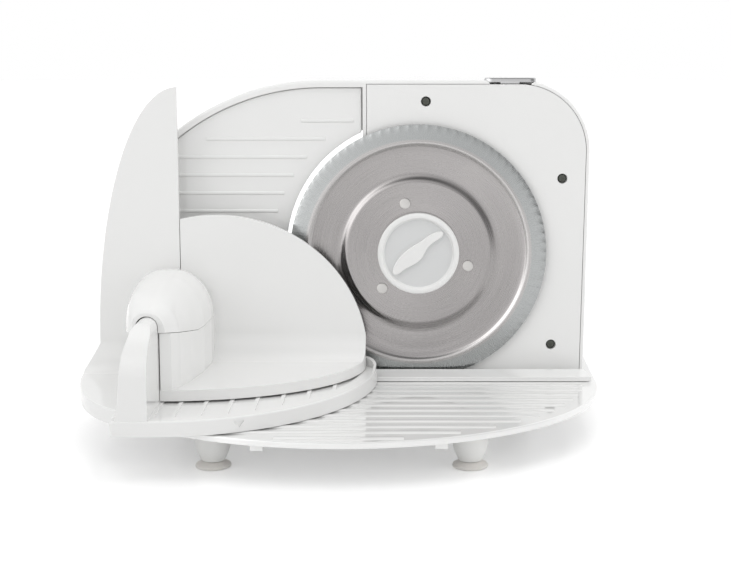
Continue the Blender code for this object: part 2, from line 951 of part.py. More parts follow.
def make_motor(steel, dark, parent):
    """The motor's can and end cap, with a bore for the rotor shaft."""
    bore = shaft_radius + shaft_play
    centre = (wheel_middle, worm_z)
    left, right = motor_left, motor_left + motor_length
    can = [
        (bore, left - motor_nose),
        (motor_nose_radius, left - motor_nose),
        (motor_nose_radius, left),
        (motor_radius - motor_soft, left),
        (motor_radius, left + motor_soft),
        (motor_radius, right),
        (bore, right),
    ]
    make("motor_can", steel, parent, turned_of(can, "x", 32, centre))
    start = right + gap
    cap = [
        (bore, start),
        (cap_radius, start),
        (cap_radius, start + cap_length - motor_soft),
        (cap_radius - motor_soft, start + cap_length),
        (bore, start + cap_length),
    ]
    make("motor_end_cap", dark, parent, turned_of(cap, "x", 32, centre))


def thread_loop():
    """Section of the worm across its axis: a lobe for each start, so that twisting it makes the thread."""
    crest, root = worm_radius + module, worm_radius - module * (1 + root_clearance)
    turn = 360 / worm_starts
    shares = (
        (-worm_root_share, root),
        (-worm_tip_share, crest),
        (0, crest),
        (worm_tip_share, crest),
        (worm_root_share, root),
        (1 / 2, root),
    )
    loop = []
    for start in range(worm_starts):
        for share, radius in shares:
            angle = math.radians(-90 + (start + share) * turn)
            loop.append((radius * math.cos(angle), radius * math.sin(angle)))
    return loop


def make_rotor(steel, dark, parent):
    """Shaft with the worm cut on it, and the cooling fan on its far end. Its parent lies on its axis."""
    left, right = shaft_left - blade_x, shaft_right - blade_x
    shaft = make("rotor_shaft", steel, parent, rod_of(shaft_radius, "x", left, right, 16))
    turn = 2 * math.pi * worm_length / (worm_pitch * worm_starts)
    mesh = bmesh.new()
    add_twisted(mesh, thread_loop(), "x", -worm_length / 2, worm_length / 2, turn, worm_layers)
    join(shaft, solid("worm_thread", mesh, parent=parent))

    bore = shaft_radius + gap
    near = fan_left - blade_x
    far = near + fan_wide
    profile = [(bore, near), (fan_radius, near), (fan_radius, near + fan_plate), (fan_hub, near + fan_plate)]
    profile += [(fan_hub, far), (bore, far)]
    fan = make("motor_fan", dark, parent, turned_of(profile, "x", 24))
    blades = []
    for i in range(fan_blades):
        angle = 2 * math.pi * i / fan_blades
        cos, sin = math.cos(angle), math.sin(angle)
        flat = box_loop(fan_hub - gap, fan_radius - gap, -fan_blade_thick / 2, fan_blade_thick / 2)
        loop = [(u * cos - v * sin, u * sin + v * cos) for u, v in flat]
        blades.append(prism_of(loop, "x", near + fan_plate / 2, far))
    join(fan, helper("fan_blades", parent, *blades))


def gear_loop():
    """Outline of the worm wheel: straight-sided teeth, with a gap at the top where the worm lies."""
    tip, root = wheel_radius + module, wheel_radius - module * (1 + root_clearance)
    pitch = 360 / wheel_teeth
    shares = (
        (-tooth_root_share, root),
        (-tooth_tip_share, tip),
        (tooth_tip_share, tip),
        (tooth_root_share, root),
    )
    loop = []
    for tooth in range(wheel_teeth):
        for share, radius in shares:
            angle = math.radians(90 + (tooth + 1 / 2 + share) * pitch)
            loop.append((radius * math.cos(angle), radius * math.sin(angle)))
    return loop


def make_carrier(dark, parent):
    """Blade carrier: a flange that the blade is riveted to, a drum, and the worm wheel round its far end."""
    inner, bore = drum_radius - drum_wall, axle_radius + axle_play
    front, rear = -carrier_face, wheel_front + wheel_wide
    web = front + flange_thick
    recess = front + hub_recess
    profile = [
        (hub_recess_radius, front),
        (flange_radius, front),
        (flange_radius, web),
        (drum_radius, web),
        (drum_radius, rear - gap),
        (inner, rear - gap),
        (inner, web),
        (hub_radius, web),
        (hub_radius, rear),
        (bore, rear),
        (bore, recess),
        (hub_recess_radius, recess),
    ]
    carrier = make("blade_carrier_wheel", dark, parent, turned_of(profile, "y", 36))
    turn = -wheel_wide * worm_pitch * worm_starts / (2 * math.pi * worm_radius) / wheel_radius
    mesh = bmesh.new()
    add_twisted(mesh, gear_loop(), "y", wheel_front, rear, turn, wheel_steps)
    teeth = solid("wheel_teeth", mesh, parent=parent)
    middle = (drum_radius + inner) / 2
    cut(teeth, helper("wheel_inside", parent, rod_of(middle, "y", wheel_front - over, rear + over, 36)))
    join(carrier, teeth)
    holes = []
    for i in range(rivet_count):
        angle = math.radians(rivet_first + i * 360 / rivet_count)
        place = (rivet_circle * math.cos(angle), rivet_circle * math.sin(angle))
        holes.append(rod_of(rivet_shank + gap, "y", front - over, web + over, 12, place))
    cut(carrier, helper("carrier_holes", parent, *holes))


def blade_rings():
    """Radius and height of the blade's front face, from the ground edge in to the hole."""
    ground = blade_radius - bevel_wide
    crest = ground - crest_wide
    return (
        (ground, -bevel_rise),
        (crest, -crest_rise),
        (crest - step_wide, hollow_outer),
        (hollow_radius, hollow_deep),
        (hollow_radius - crease_wide, crease_deep),
        (disc_radius, -disc_rise),
        (blade_hole, -disc_rise),
    )


def make_blade(steel, parent):
    """Dished blade with a scalloped edge: three points to a tooth outside, one to a tooth further in."""
    mesh = bmesh.new()
    pitch = 360 / blade_teeth
    depths = (0, tooth_deep, tooth_deep)

    def edge(height):
        ring = []
        for tooth in range(blade_teeth):
            for i, deep in enumerate(depths):
                angle = math.radians((tooth + i / len(depths)) * pitch)
                radius = blade_radius - deep
                place = (radius * math.cos(angle), height, radius * math.sin(angle))
                ring.append(mesh.verts.new(place))
        return ring

    def inner(radius, height):
        points = arc((0, 0), (radius, radius), 0, 360 - pitch, blade_teeth - 1)
        return [mesh.verts.new((u, height, v)) for u, v in points]

    edges = [edge(0), edge(edge_thick)]
    sides = []
    for side, thick in enumerate((0, blade_thick)):
        rings = [inner(radius, height + thick) for radius, height in blade_rings()]
        sides.append(rings)
        for tooth in range(blade_teeth):
            after = (tooth + 1) % blade_teeth
            here = [edges[side][3 * tooth + i] for i in range(3)] + [edges[side][3 * after]]
            near, far = rings[0][tooth], rings[0][after]
            for face in ((near, here[0], here[1]), (near, here[1], here[2], far), (far, here[2], here[3])):
                mesh.faces.new(face)
        for outer, ring in zip(rings, rings[1:]):
            for i in range(blade_teeth):
                j = (i + 1) % blade_teeth
                mesh.faces.new((outer[i], outer[j], ring[j], ring[i]))
    for first, second in (edges, (sides[0][-1], sides[1][-1])):
        for i in range(len(first)):
            j = (i + 1) % len(first)
            mesh.faces.new((first[i], first[j], second[j], second[i]))
    bmesh.ops.recalc_face_normals(mesh, faces=mesh.faces)
    blade = solid("blade", mesh, steel, parent, sharp=25)
    holes = []
    for i in range(rivet_count):
        angle = math.radians(rivet_first + i * 360 / rivet_count)
        place = (rivet_circle * math.cos(angle), rivet_circle * math.sin(angle))
        holes.append(rod_of(rivet_shank + gap, "y", -disc_rise - over, over, 12, place))
    cut(blade, helper("blade_holes", parent, *holes))
    under = -disc_rise - gap
    profile = [
        (0, under - rivet_head),
        (rivet_radius - rivet_head / 2, under - rivet_head),
        (rivet_radius, under),
        (rivet_shank, under),
        (rivet_shank, under + rivet_length),
        (0, under + rivet_length),
    ]
    for i in range(rivet_count):
        angle = math.radians(rivet_first + i * 360 / rivet_count)
        place = (rivet_circle * math.cos(angle), rivet_circle * math.sin(angle))
        make(f"blade_rivet_{i + 1}", steel, parent, turned_of(profile, "y", 16, place))


def make_axle(steel, parent):
    """Axle that turns in the bush, the cross pin for the knob's bayonet, and the clip behind the bush."""
    axle = make("blade_axle", steel, parent, rod_of(axle_radius, "y", -axle_front, axle_rear, 24))
    pin_hole = pin_radius + gap
    through = axle_radius + over
    cut(axle, helper("axle_pin_hole", parent, rod_of(pin_hole, "x", -through, through, 12, (pin_y, 0))))
    make("bayonet_pin", steel, parent, rod_of(pin_radius, "x", -pin_half, pin_half, 10, (pin_y, 0)))
    inner, start = axle_radius + axle_play, bush_rear + gap
    end = start + clip_thick
    profile = [(inner, start), (clip_radius, start), (clip_radius, end), (inner, end)]
    make("axle_clip", steel, parent, turned_of(profile, "y", 20))


def make_knob(white, parent):
    """Quarter-turn knob: a ring round a sunk disc with a leaf-shaped grip, and a bayonet socket behind."""
    ring = knob_radius - knob_ring
    profile = [
        (0, -knob_disc),
        (ring, -knob_disc),
        (ring + knob_slope, -knob_front),
        (knob_radius - knob_round, -knob_front),
        (knob_radius, knob_round - knob_front),
        (knob_radius, -knob_back),
        (stem_radius, -knob_back),
        (stem_radius, stem_end),
        (stem_bore, stem_end),
        (stem_bore, groove_rear),
        (stem_groove, groove_rear),
        (stem_groove, groove_front),
        (stem_bore, groove_front),
        (stem_bore, -axle_front - gap),
        (0, -axle_front - gap),
    ]
    knob = make("locking_knob", white, parent, turned_of(profile, "y", 40))
    angle = math.radians(grip_turn)
    cos, sin = math.cos(angle), math.sin(angle)
    leaf = []
    for side, steps in ((1, range(0, 9)), (-1, range(7, 0, -1))):
        for i in steps:
            share = i / 8
            u = grip_half * (2 * share - 1)
            v = side * grip_wide * math.sin(math.pi * share**grip_lean) ** (4 / 5)
            leaf.append((u * cos - v * sin, u * sin + v * cos))
    grip = prism_of(leaf, "y", -grip_front, -knob_disc + knob_round, low_soft=knob_round, soft_steps=1)
    join(knob, helper("knob_grip", parent, grip))
    slot = box_loop(-pin_radius - gap, pin_radius + gap, -stem_groove, stem_groove)
    cut(knob, helper("bayonet_slots", parent, prism_of(slot, "y", groove_rear - gap, stem_end + over)))


def make_button(chrome, dark, parent, root):
    """Power button let into the top edge, and the switch that its stem presses."""
    middle = (button_front + button_rear) / 2
    half = (button_rear - button_front) / 2
    loop = arc((button_right - half, middle), (half, half), -90, 90, 8)
    loop += arc((button_left + half, middle), (half, half), 90, 270, 8)
    button = make(
        "power_button", chrome, parent, prism_of(loop, "z", button_low, button_top, high_soft=button_round)
    )
    wide, deep = button_stem_wide / 2, button_stem_deep / 2
    core = switch_front + switch_deep / 2
    stem = box_loop(button_middle - wide, button_middle + wide, core - deep, core + deep)
    top = button_low + button_round
    join(button, helper("button_stem", parent, prism_of(stem, "z", button_stem_low, top)))
    top = button_stem_low - button_travel - gap
    half = switch_wide / 2
    case = box_loop(button_middle - half, button_middle + half, switch_front, switch_front + switch_deep)
    upper = top - plunger_high
    switch = make("micro_switch", dark, root, prism_of(case, "z", upper - switch_high, upper))
    plunger = rod_of(plunger_radius, "z", top - plunger_high - gap, top, 12, (button_middle, core))
    join(switch, helper("switch_plunger", root, plunger))


def gauge_loop(inset):
    """Outline of the thickness plate: under the hood, beside the block and round the blade."""
    left = hood_left - hood_wall - gauge_under - inset
    right = block_left - gauge_side - inset
    low = plate_top + gauge_low + inset
    radius = hood_radius - hood_wall - gauge_under - inset
    start = math.degrees(math.acos((left - hood_middle) / radius))
    loop = [(-left, low)] + arc((-hood_middle, hood_z), (radius, radius), 180 - start, 90, 20)
    loop += [(right, hood_z + radius)]
    bite = blade_radius + gauge_blade + inset
    swing = math.degrees(math.acos((blade_x - right) / bite))
    loop += arc((blade_x, blade_z), (bite, bite), 180 - swing, 180 + swing, 24)
    loop += [(right, low)]
    return loop


def make_gauge(white, parent):
    """Thickness plate with a lip behind, raised ribs in front, two guide sleeves and the spindle's nut."""
    back = gauge_front + gauge_skin
    plate = make(
        "gauge_plate",
        white,
        parent,
        prism_of(gauge_loop(0), "y", gauge_front, gauge_front + gauge_deep),
    )
    hollow = prism_of(gauge_loop(gauge_lip), "y", back, gauge_front + gauge_deep + over)
    cut(plate, helper("gauge_hollow", parent, hollow))
    ribs = []
    for i in range(gauge_rib_count):
        z = gauge_rib_first - i * gauge_rib_pitch
        reach = blade_radius + gauge_rib_right
        rise = z - blade_z
        right = blade_x - math.sqrt(max(reach * reach - rise * rise, 0))
        share = max(z - hood_z, 0) / gauge_rib_rise
        left = max(-gauge_rib_reach * math.sqrt(1 - share * share), gauge_rib_left + hood_wall - hood_left)
        crown = arc((gauge_front, z), (gauge_rib_high, gauge_rib_wide / 2), 90, 270, 4)
        foot = gauge_front + gauge_rib_high
        section = crown + [(foot, z - gauge_rib_wide / 2), (foot, z + gauge_rib_wide / 2)]
        ribs.append(prism_of(section, "x", left, right))
    raised = helper("gauge_ribs", parent, *ribs)
    limit = prism_of(gauge_loop(gauge_lip), "y", gauge_front - over, back)
    keep(raised, helper("gauge_rib_limit", parent, limit))
    join(plate, raised)
    middle = gauge_front + gauge_skin / 2
    sleeves = [rod_of(sleeve_radius, "y", middle, sleeve_rear, 20, place) for place in rod_places]
    sleeves.append(rod_of(nut_radius, "y", middle, sleeve_rear, 20, (dial_x, dial_z)))
    join(plate, helper("gauge_sleeves", parent, *sleeves))
    bores = [rod_of(rod_radius + rod_play, "y", back, sleeve_rear + over, 16, place) for place in rod_places]
    bores.append(rod_of(spindle_radius + rod_play, "y", back, sleeve_rear + over, 16, (dial_x, dial_z)))
    cut(plate, helper("gauge_bores", parent, *bores))


def make_guides(steel, parent):
    for i, place in enumerate(rod_places, 1):
        make(f"guide_rod_{i}", steel, parent, rod_of(rod_radius, "y", rod_front, hood_rear - gap, 16, place))


def make_dial(white, steel, parent):
    """Thickness dial behind the hood, turning the spindle that draws the thickness plate back."""
    front = hood_rear + gap
    end = front + dial_thick
    bore_end = end - dial_skirt_thick
    lip = front + dial_skirt_thick
    dial = make(
        "thickness_dial",
        white,
        parent,
        turned_of(
            [(0, front), (dial_skirt, front), (dial_skirt, lip), (0, lip)],
            "y",
            40,
        ),
    )
    loop = []
    steps = dial_lobes * 4
    for i in range(steps):
        angle = 2 * math.pi * i / steps
        radius = dial_radius - dial_lobe_deep * (1 - math.cos(dial_lobes * angle)) / 2
        loop.append((radius * math.cos(angle), radius * math.sin(angle)))
    middle = front + dial_skirt_thick / 2
    join(dial, helper("dial_grip", parent, prism_of(loop, "y", middle, end, high_soft=button_round)))
    cut(dial, helper("dial_bore", parent, rod_of(spindle_radius + gap, "y", front - over, bore_end, 20)))
    make("dial_spindle", steel, parent, rod_of(spindle_radius, "y", rod_front, bore_end - gap, 16))


def tray_loop(inset, rear):
    """Outline of the carriage tray from above: quarter ellipse, wall front, and hand tray at the left."""
    half, deep = tray_half - inset, tray_deep - inset
    start_y = rear + tray_end_y
    share = (start_y - tray_y) / deep
    end_x = tray_x + half * math.sqrt(1 - share * share)
    loop = arc((end_x - tray_end_x, -start_y), (tray_end_x, tray_end_y), 90, 0, 5)
    angle = math.degrees(math.asin(share))
    loop += arc((tray_x, -tray_y), (half, deep), -angle, -90, 24)[1:]
    left_foot = wall_right - wall_thick - wall_flare - step + inset
    reach = (hand_x - left_foot) / (hand_half - inset)
    swing = math.degrees(math.acos(reach))
    loop += [(left_foot + tray_soft, -tray_y - deep), (left_foot, tray_soft - tray_y - deep)]
    start = math.degrees(math.asin(max(rear - hand_y, 0) / (hand_deep - inset)))
    loop += arc((hand_x, -hand_y), (hand_half - inset, hand_deep - inset), -180 + swing, -180 + start, 14)
    if rear < hand_y:
        loop += [(hand_x - hand_half + inset, -rear)]
    return loop


def pocket_loops():
    """The pockets between the tray's ribs, each ending on the rim's inner curve."""
    loops = []
    first = tray_x + pocket_first
    half, deep = tray_half - rim_wide, tray_deep - rim_wide
    for i in range(pocket_count):
        left = max(first + (i - 1) * pocket_pitch, wall_right) + pocket_rib
        right = first + i * pocket_pitch
        ends = []
        for step in range(4):
            x = left + (right - left) * step / 3
            share = (x - tray_x) / half
            if abs(share) < 1:
                ends.append((x, -tray_y - deep * math.sqrt(1 - share * share)))
        if len(ends) > 1:
            loops.append([(ends[0][0], -pocket_back)] + ends + [(ends[-1][0], -pocket_back)])
    return loops


def make_carriage(white, glide, parent):
    """Carriage in one moulding: ribbed tray, rounded wall for the pusher, hand tray and sail guard."""
    tray = make(
        "carriage",
        white,
        parent,
        prism_of(tray_loop(0, tray_rear), "z", tray_low, tray_top, high_soft=tray_soft),
    )
    under = tray_top - pocket_deep - pocket_floor
    hollow = prism_of(tray_loop(tray_wall, rail_front + hook_room + tray_wall), "z", tray_low - over, under)
    hook_y = -rail_front - hook_room
    hook_z = plate_top + rail_high_side + hook_room
    notch = box_loop(span_left - over, tray_x + tray_half + over, hook_y, over)
    cut(tray, helper("tray_hollow", parent, hollow))
    pockets = [prism_of(loop, "z", tray_top - pocket_deep, tray_top + over) for loop in pocket_loops()]
    cut(tray, helper("tray_pockets", parent, *pockets))

    left = wall_right - wall_thick
    straight = wall_top - wall_round
    foot = tray_low + step
    profile = [(wall_right, foot)]
    profile += arc((wall_right - wall_round, straight), (wall_round, wall_round), 0, 180, 10)
    for height, flare in reversed(wall_flare_shares):
        profile.append((left - wall_flare * flare, foot + (straight - foot) * height))
    wall = helper("wall", parent, prism_of(profile, "y", -wall_front - over, -sail_back - step))
    side = [(-sail_back + over, tray_low - over), (-sail_back + over, wall_top + over)]
    crown = -wall_front + wall_crown
    side += [(crown, wall_top + over)]
    side += arc((crown, wall_top - wall_fall), (wall_crown, wall_fall), 90, 180, 8)
    side += [(-wall_front, tray_low - over)]
    keep(wall, helper("wall_side", parent, prism_of(side, "x", span_left, wall_right + over)))
    join(tray, wall)
    cut(tray, helper("rail_notch", parent, prism_of(notch, "z", tray_low - over, hook_z)))

    root = tray_top - tray_soft - rib_root
    front = -sail_back - sail_thick
    top = plate_top + sail_base + sail_rise
    bend = [(-sail_back, root), (-sail_back, top + over), (front, top + over)]
    bend += arc((front - scoop, tray_top + scoop), (scoop, scoop), 0, -90, 8)
    bend += [(front - scoop, root)]
    guard = helper("guard", parent, prism_of(bend, "x", span_left - over, sail_right))
    face = [(sail_right + over, root - over), (sail_right + over, top)]
    base = plate_top + sail_base
    face += arc((sail_right, base), (sail_half, sail_rise), 90, 180, 20)
    foot = sail_right - sail_half
    for up, out in scoop_shares:
        face.append((foot + (scoop_left - foot) * out, tray_top + (base - tray_top) * up))
    face += [(scoop_left, tray_top), (scoop_left, root - over)]
    keep(guard, helper("guard_face", parent, prism_of(face, "y", front - scoop - over, 0)))
    plan = tray_loop(step, tray_rear + step)
    keep(guard, helper("guard_plan", parent, prism_of(plan, "z", tray_low, top + over)))
    join(tray, guard)

    high = tray_top + ear_high
    ear = helper("ear", parent, prism_of(tray_loop(step, tray_rear + step), "z", root, high))
    inside = tray_loop(step + ear_thick, tray_rear + step + ear_thick)
    cut(ear, helper("ear_inside", parent, prism_of(inside, "z", tray_low, high + over)))
    ramp = [
        (-tray_rear + over, tray_low),
        (-tray_rear + over, high + over),
        (-tray_rear, high),
        (-tray_rear - ear_reach / 2, tray_top + ear_high / 2),
        (-tray_rear - ear_reach, tray_top - tray_soft),
        (-tray_rear - ear_reach, tray_low),
    ]
    keep(ear, helper("ear_ramp", parent, prism_of(ramp, "x", ear_left, tray_x + tray_half + over)))
    join(tray, ear)

    for i, place in enumerate(glide_places, 1):
        make(f"glide_pad_{i}", glide, parent, rod_of(glide_radius, "z", tray_low, under - gap, 16, place))


def seam_height(depth):
    """Height of the seam between grip body and cap: level behind, rising towards the front."""
    share = max(depth - seam_bend, 0) / (pusher_front - seam_bend)
    return plate_top + seam_rear + (seam_front - seam_rear) * share


def grip_side(depth):
    """Right side of the grip body at a depth in front of the blade."""
    nose = wall_right + gap + grip_nose
    along = min(max((pusher_front - depth) / (pusher_front - shield_back - shield_thick), 0), 1)
    for (low, low_share), (high, high_share) in zip(grip_shares, grip_shares[1:]):
        if along <= high:
            share = low_share + (high_share - low_share) * (along - low) / (high - low)
            return nose + (grip_right - nose) * share
    return grip_right


def pusher_plan(inset):
    """Outline of the pusher's floor from above: a quarter ellipse out from the wall."""
    left = wall_right + gap + inset
    right, front = pusher_right - inset, pusher_front - inset
    loop = [(left, -shield_back)]
    loop += arc((wall_right + gap, -pusher_line), (right - wall_right - gap, front - pusher_line), -90, 0, 20)
    loop[1] = (left, loop[1][1])
    loop += [(right, -shield_back)]
    return loop


def make_pusher(white, parent):
    """Pusher: curved shield, floor with a lip, grip body beside the wall, and spikes on the food side."""
    left = wall_right + gap
    low, floor = plate_top + pusher_low, plate_top + pusher_floor_top
    front = -shield_back - shield_thick
    top = plate_top + shield_z + shield_rise
    foot = -shield_back - shield_foot
    bend = [(-shield_back, low), (-shield_back, top + over), (front, top + over)]
    bend += arc((front - pusher_fillet, floor + pusher_fillet), (pusher_fillet, pusher_fillet), 0, -90, 6)
    bend += [(-pusher_front - over, floor), (-pusher_front - over, floor - pusher_floor)]
    bend += [(foot, floor - pusher_floor), (foot, low)]
    pusher = make("pusher", white, parent, prism_of(bend, "x", left, pusher_right + over))
    keep(pusher, helper("pusher_outline", parent, prism_of(pusher_plan(0), "z", low - over, top + over)))
    base = plate_top + shield_z
    end = math.degrees(math.acos((left - shield_x) / shield_half))
    face = arc((shield_x, base), (shield_half, shield_rise), 0, end, 24)
    face += [(left - over, face[-1][1]), (left - over, low - over), (shield_x + shield_half, low - over)]
    keep(pusher, helper("shield_face", parent, prism_of(face, "y", -pusher_front - over, 0)))
    skirt = helper("lip", parent, prism_of(pusher_plan(0), "z", low, floor - pusher_floor / 2))
    inner = prism_of(pusher_plan(pusher_skirt), "z", low - over, floor)
    cut(skirt, helper("lip_inside", parent, inner))
    join(pusher, skirt)

    foot, rear = floor - pusher_floor / 2, front + shield_thick / 2
    depth = pusher_front + front
    edge = [-pusher_front + depth * along for along, _ in grip_shares]
    plan = [(left, -pusher_front), *((grip_side(-y), y) for y in edge), (grip_right, rear), (left, rear)]
    body = helper("grip_body", parent, prism_of(plan, "z", foot, plate_top + seam_front + over))
    level, ahead = seam_height(0) - gap, pusher_front + over
    side = [(rear + over, foot - over), (rear + over, level), (-seam_bend, level)]
    side += [(-ahead, seam_height(ahead) - gap), (-ahead, foot - over)]
    keep(body, helper("grip_seam", parent, prism_of(side, "x", left - over, grip_right + over)))
    join(pusher, body)

    spikes = []
    columns = int((shield_half * 2 - spike_margin * 2) / spike_pitch_x)
    rows = int(shield_rise / spike_pitch_z)
    for column in range(columns):
        for row in range(rows):
            x = left + spike_margin + column * spike_pitch_x
            z = base + spike_margin / 2 + row * spike_pitch_z
            across = (x - shield_x) / (shield_half - spike_margin)
            up = (z - base) / (shield_rise - spike_margin)
            if across * across + up * up < 1 and x < pusher_right - spike_margin:
                tip = -shield_back + spike_long
                profile = [(0, -shield_back - gap), (spike_wide / 2, -shield_back - gap), (0, tip)]
                spikes.append(turned_of(profile, "y", 4, (x, z)))
    join(pusher, helper("spikes", parent, *spikes))


def make_cap(white, parent):
    """Dome cap over the wall and the grip body, drawn through sections from back to front."""
    rings = []
    shares = zip(cap_length_shares, cap_left_shares, cap_right_shares, cap_rise_shares)
    for along, left_share, right_share, rise_share in shares:
        depth = cap_rear + (cap_front - cap_rear) * along
        seat = seam_height(depth)
        width = grip_right - cap_left
        left, right = cap_left + width * left_share, grip_side(depth) - width * right_share
        rise = plate_top + seam_front + (cap_crown - seam_front) * rise_share - seat
        ring = []
        for i in range(cap_points + 1):
            angle = math.pi * i / cap_points
            cos, sin = math.cos(angle), math.sin(angle)
            power = cap_right_power if cos > 0 else cap_left_power
            across = math.copysign(abs(cos) ** power, cos)
            x = (left + right) / 2 + (right - left) / 2 * across
            ring.append((x, -depth, seat + rise * sin**power))
        rings.append(ring)
    mesh = bmesh.new()
    add_rings(mesh, rings)
    bmesh.ops.recalc_face_normals(mesh, faces=mesh.faces)
    cap = solid("pusher_cap", mesh, white, parent)
    right, left = wall_right + gap, wall_right - wall_thick - run - gap
    straight = wall_top - wall_round
    radii = ((right - left) / 2, wall_round + run)
    low = plate_top + seam_rear - over
    loop = [(left - flare_room, low), (right, low)]
    loop += arc(((left + right) / 2, straight), radii, 0, 180, 12)
    cut(cap, helper("cap_slot", parent, prism_of(loop, "y", -cap_front - over, over)))


def main():
    for old in list(bpy.data.objects):
        bpy.data.objects.remove(old)
    white = material("gloss_white_abs", (0.80, 0.80, 0.80), 0.22, 0.0)
    satin = material("satin_white_abs", (0.76, 0.76, 0.76), 0.42, 0.0)
    rubber = material("grey_silicone", (0.42, 0.41, 0.39), 0.7, 0.0)
    dark = material("grey_nylon", (0.10, 0.10, 0.11), 0.5, 0.0)
    steel = material("stainless_steel", (0.62, 0.61, 0.60), 0.28, 1.0)
    bronze = material("sintered_bronze", (0.45, 0.30, 0.16), 0.5, 1.0)
    chrome = material("chromed_abs", (0.70, 0.70, 0.70), 0.12, 1.0)
    glide = material("white_acetal", (0.70, 0.70, 0.68), 0.45, 0.0)

    centre = (-(span_left + span_right) / 2, (span_front - span_rear) / 2, 0)
    machine = empty("machine", None, centre)
    blade_axis = empty("blade_axis", machine, (blade_x, 0, blade_z))
    knob_axis = empty("knob_axis", blade_axis, (0, 0, 0))
    shaft_axis = empty("shaft_axis", machine, (blade_x, wheel_middle, worm_z))
    dial_axis = empty("dial_axis", machine, (dial_x, 0, dial_z))
    gauge_slide = empty("gauge_slide", machine, (0, 0, 0))
    button_slide = empty("button_slide", machine, (0, 0, 0))
    carriage_slide = empty("carriage_slide", machine, (0, 0, 0))
    pusher_slide = empty("pusher_slide", carriage_slide, (0, 0, 0))

    make_base(white, machine)
    make_rail(white, machine)
    make_feet(satin, rubber, machine)
    make_housing(white, machine)
    make_panel(white, steel, machine)
    make_base_screws(steel, machine)
    make_inlet(dark, machine)
    make_gear_frame(dark, machine)
    make_bush(bronze, machine)
    make_motor(steel, dark, machine)
    make_rotor(steel, dark, shaft_axis)
    make_carrier(dark, blade_axis)
    make_blade(steel, blade_axis)
    make_axle(steel, blade_axis)
    make_knob(white, knob_axis)
    make_button(chrome, dark, button_slide, machine)
    make_gauge(white, gauge_slide)
    make_guides(steel, machine)
    make_dial(satin, steel, dial_axis)
    make_carriage(white, glide, carriage_slide)
    make_pusher(white, pusher_slide)
    make_cap(white, pusher_slide)


main()
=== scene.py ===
"""Looks of an electric table slicer: white mouldings, a dished serrated steel blade, and a white studio.

Metres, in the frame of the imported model. Shapes are drawn from the machine's own place, with the blade's
edge in the plane y = 0, and then moved to the frame.
"""

import math

import bmesh
import bpy
from mathutils import Matrix, Vector


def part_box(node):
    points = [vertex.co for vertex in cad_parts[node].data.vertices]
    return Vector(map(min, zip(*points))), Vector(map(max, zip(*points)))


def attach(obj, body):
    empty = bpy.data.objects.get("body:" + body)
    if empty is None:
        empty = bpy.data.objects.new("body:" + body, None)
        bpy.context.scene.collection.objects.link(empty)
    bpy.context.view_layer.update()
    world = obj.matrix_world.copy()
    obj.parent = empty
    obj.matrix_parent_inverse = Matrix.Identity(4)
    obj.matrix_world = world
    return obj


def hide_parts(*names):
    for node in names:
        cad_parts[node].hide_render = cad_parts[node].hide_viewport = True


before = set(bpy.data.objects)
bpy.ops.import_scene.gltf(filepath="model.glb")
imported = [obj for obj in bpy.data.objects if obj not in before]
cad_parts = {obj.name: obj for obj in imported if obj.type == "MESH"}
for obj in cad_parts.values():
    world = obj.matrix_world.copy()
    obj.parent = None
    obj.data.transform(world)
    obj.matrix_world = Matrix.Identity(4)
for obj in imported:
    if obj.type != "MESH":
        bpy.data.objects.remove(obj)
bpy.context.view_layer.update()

# Where the machine's own place lies in the frame
MACHINE = Vector((0.00475, 0.037, 0.0))

# Clearances, cutting overrun, and the step by which a joined shape stands back from the face it meets
gap = 0.0003
run = 0.0006
over = 0.003
step = 0.0005

# Sides of turned shapes, from small to large
bore_sides = 24
rod_sides = 32
head_sides = 48
foot_sides = 64
knob_sides = 128
dial_sides = 160

# Base plate. As in every section, steps are the parts in which a round stretch is drawn.
plate_half = 0.1835
plate_front = 0.155
plate_line = 0.011
plate_rear = 0.092
plate_corner = 0.022
plate_top = 0.030
plate_edge = 0.0042
plate_skin = 0.0024
plate_rim = 0.003
plate_soft = 0.0012
plate_steps = 144
plate_corner_steps = 16
rib_first = 0.0236
rib_pitch = 0.01325
rib_count = 11
rib_wide = 0.0066
rib_high = 0.0008
rib_root = 0.0005
rib_inset = 0.011
rib_steps = 10
tab_places = ((-0.053, -0.153), (0.066, -0.149))
tab_wide = 0.0085
tab_deep = 0.006
tab_high = 0.0042
web_thick = 0.002
web_places = (-0.090, -0.045, 0.0, 0.038)

# Guide rail
rail_left = 0.176
rail_right = 0.1795
rail_slant = 0.0046
rail_front = 0.012
rail_back = 0.0035
rail_low_side = 0.0035
rail_high_side = 0.0077

# Feet
foot_places = {
    "front_left": (-0.086, -0.119),
    "front_right": (0.086, -0.119),
    "rear_left": (-0.125, 0.060),
    "rear_right": (0.125, 0.060),
}
leg_top_radius = 0.0145
leg_flange = 0.0016
leg_low = 0.0092
leg_points = (
    (0.0126, 0.0250),
    (0.0122, 0.0188),
    (0.0117, 0.0145),
    (0.0104, 0.0100),
    (0.0083, 0.0054),
)
leg_steps = 5
skirt_low = 0.0046
skirt_bore = 0.0073
cup_radius = 0.012
cup_lip = 0.0016
cup_neck_radius = 0.0052
cup_stem_radius = 0.003
cup_stem = 0.009
cup_hollow_radius = 0.0085
cup_hollow = 0.0015

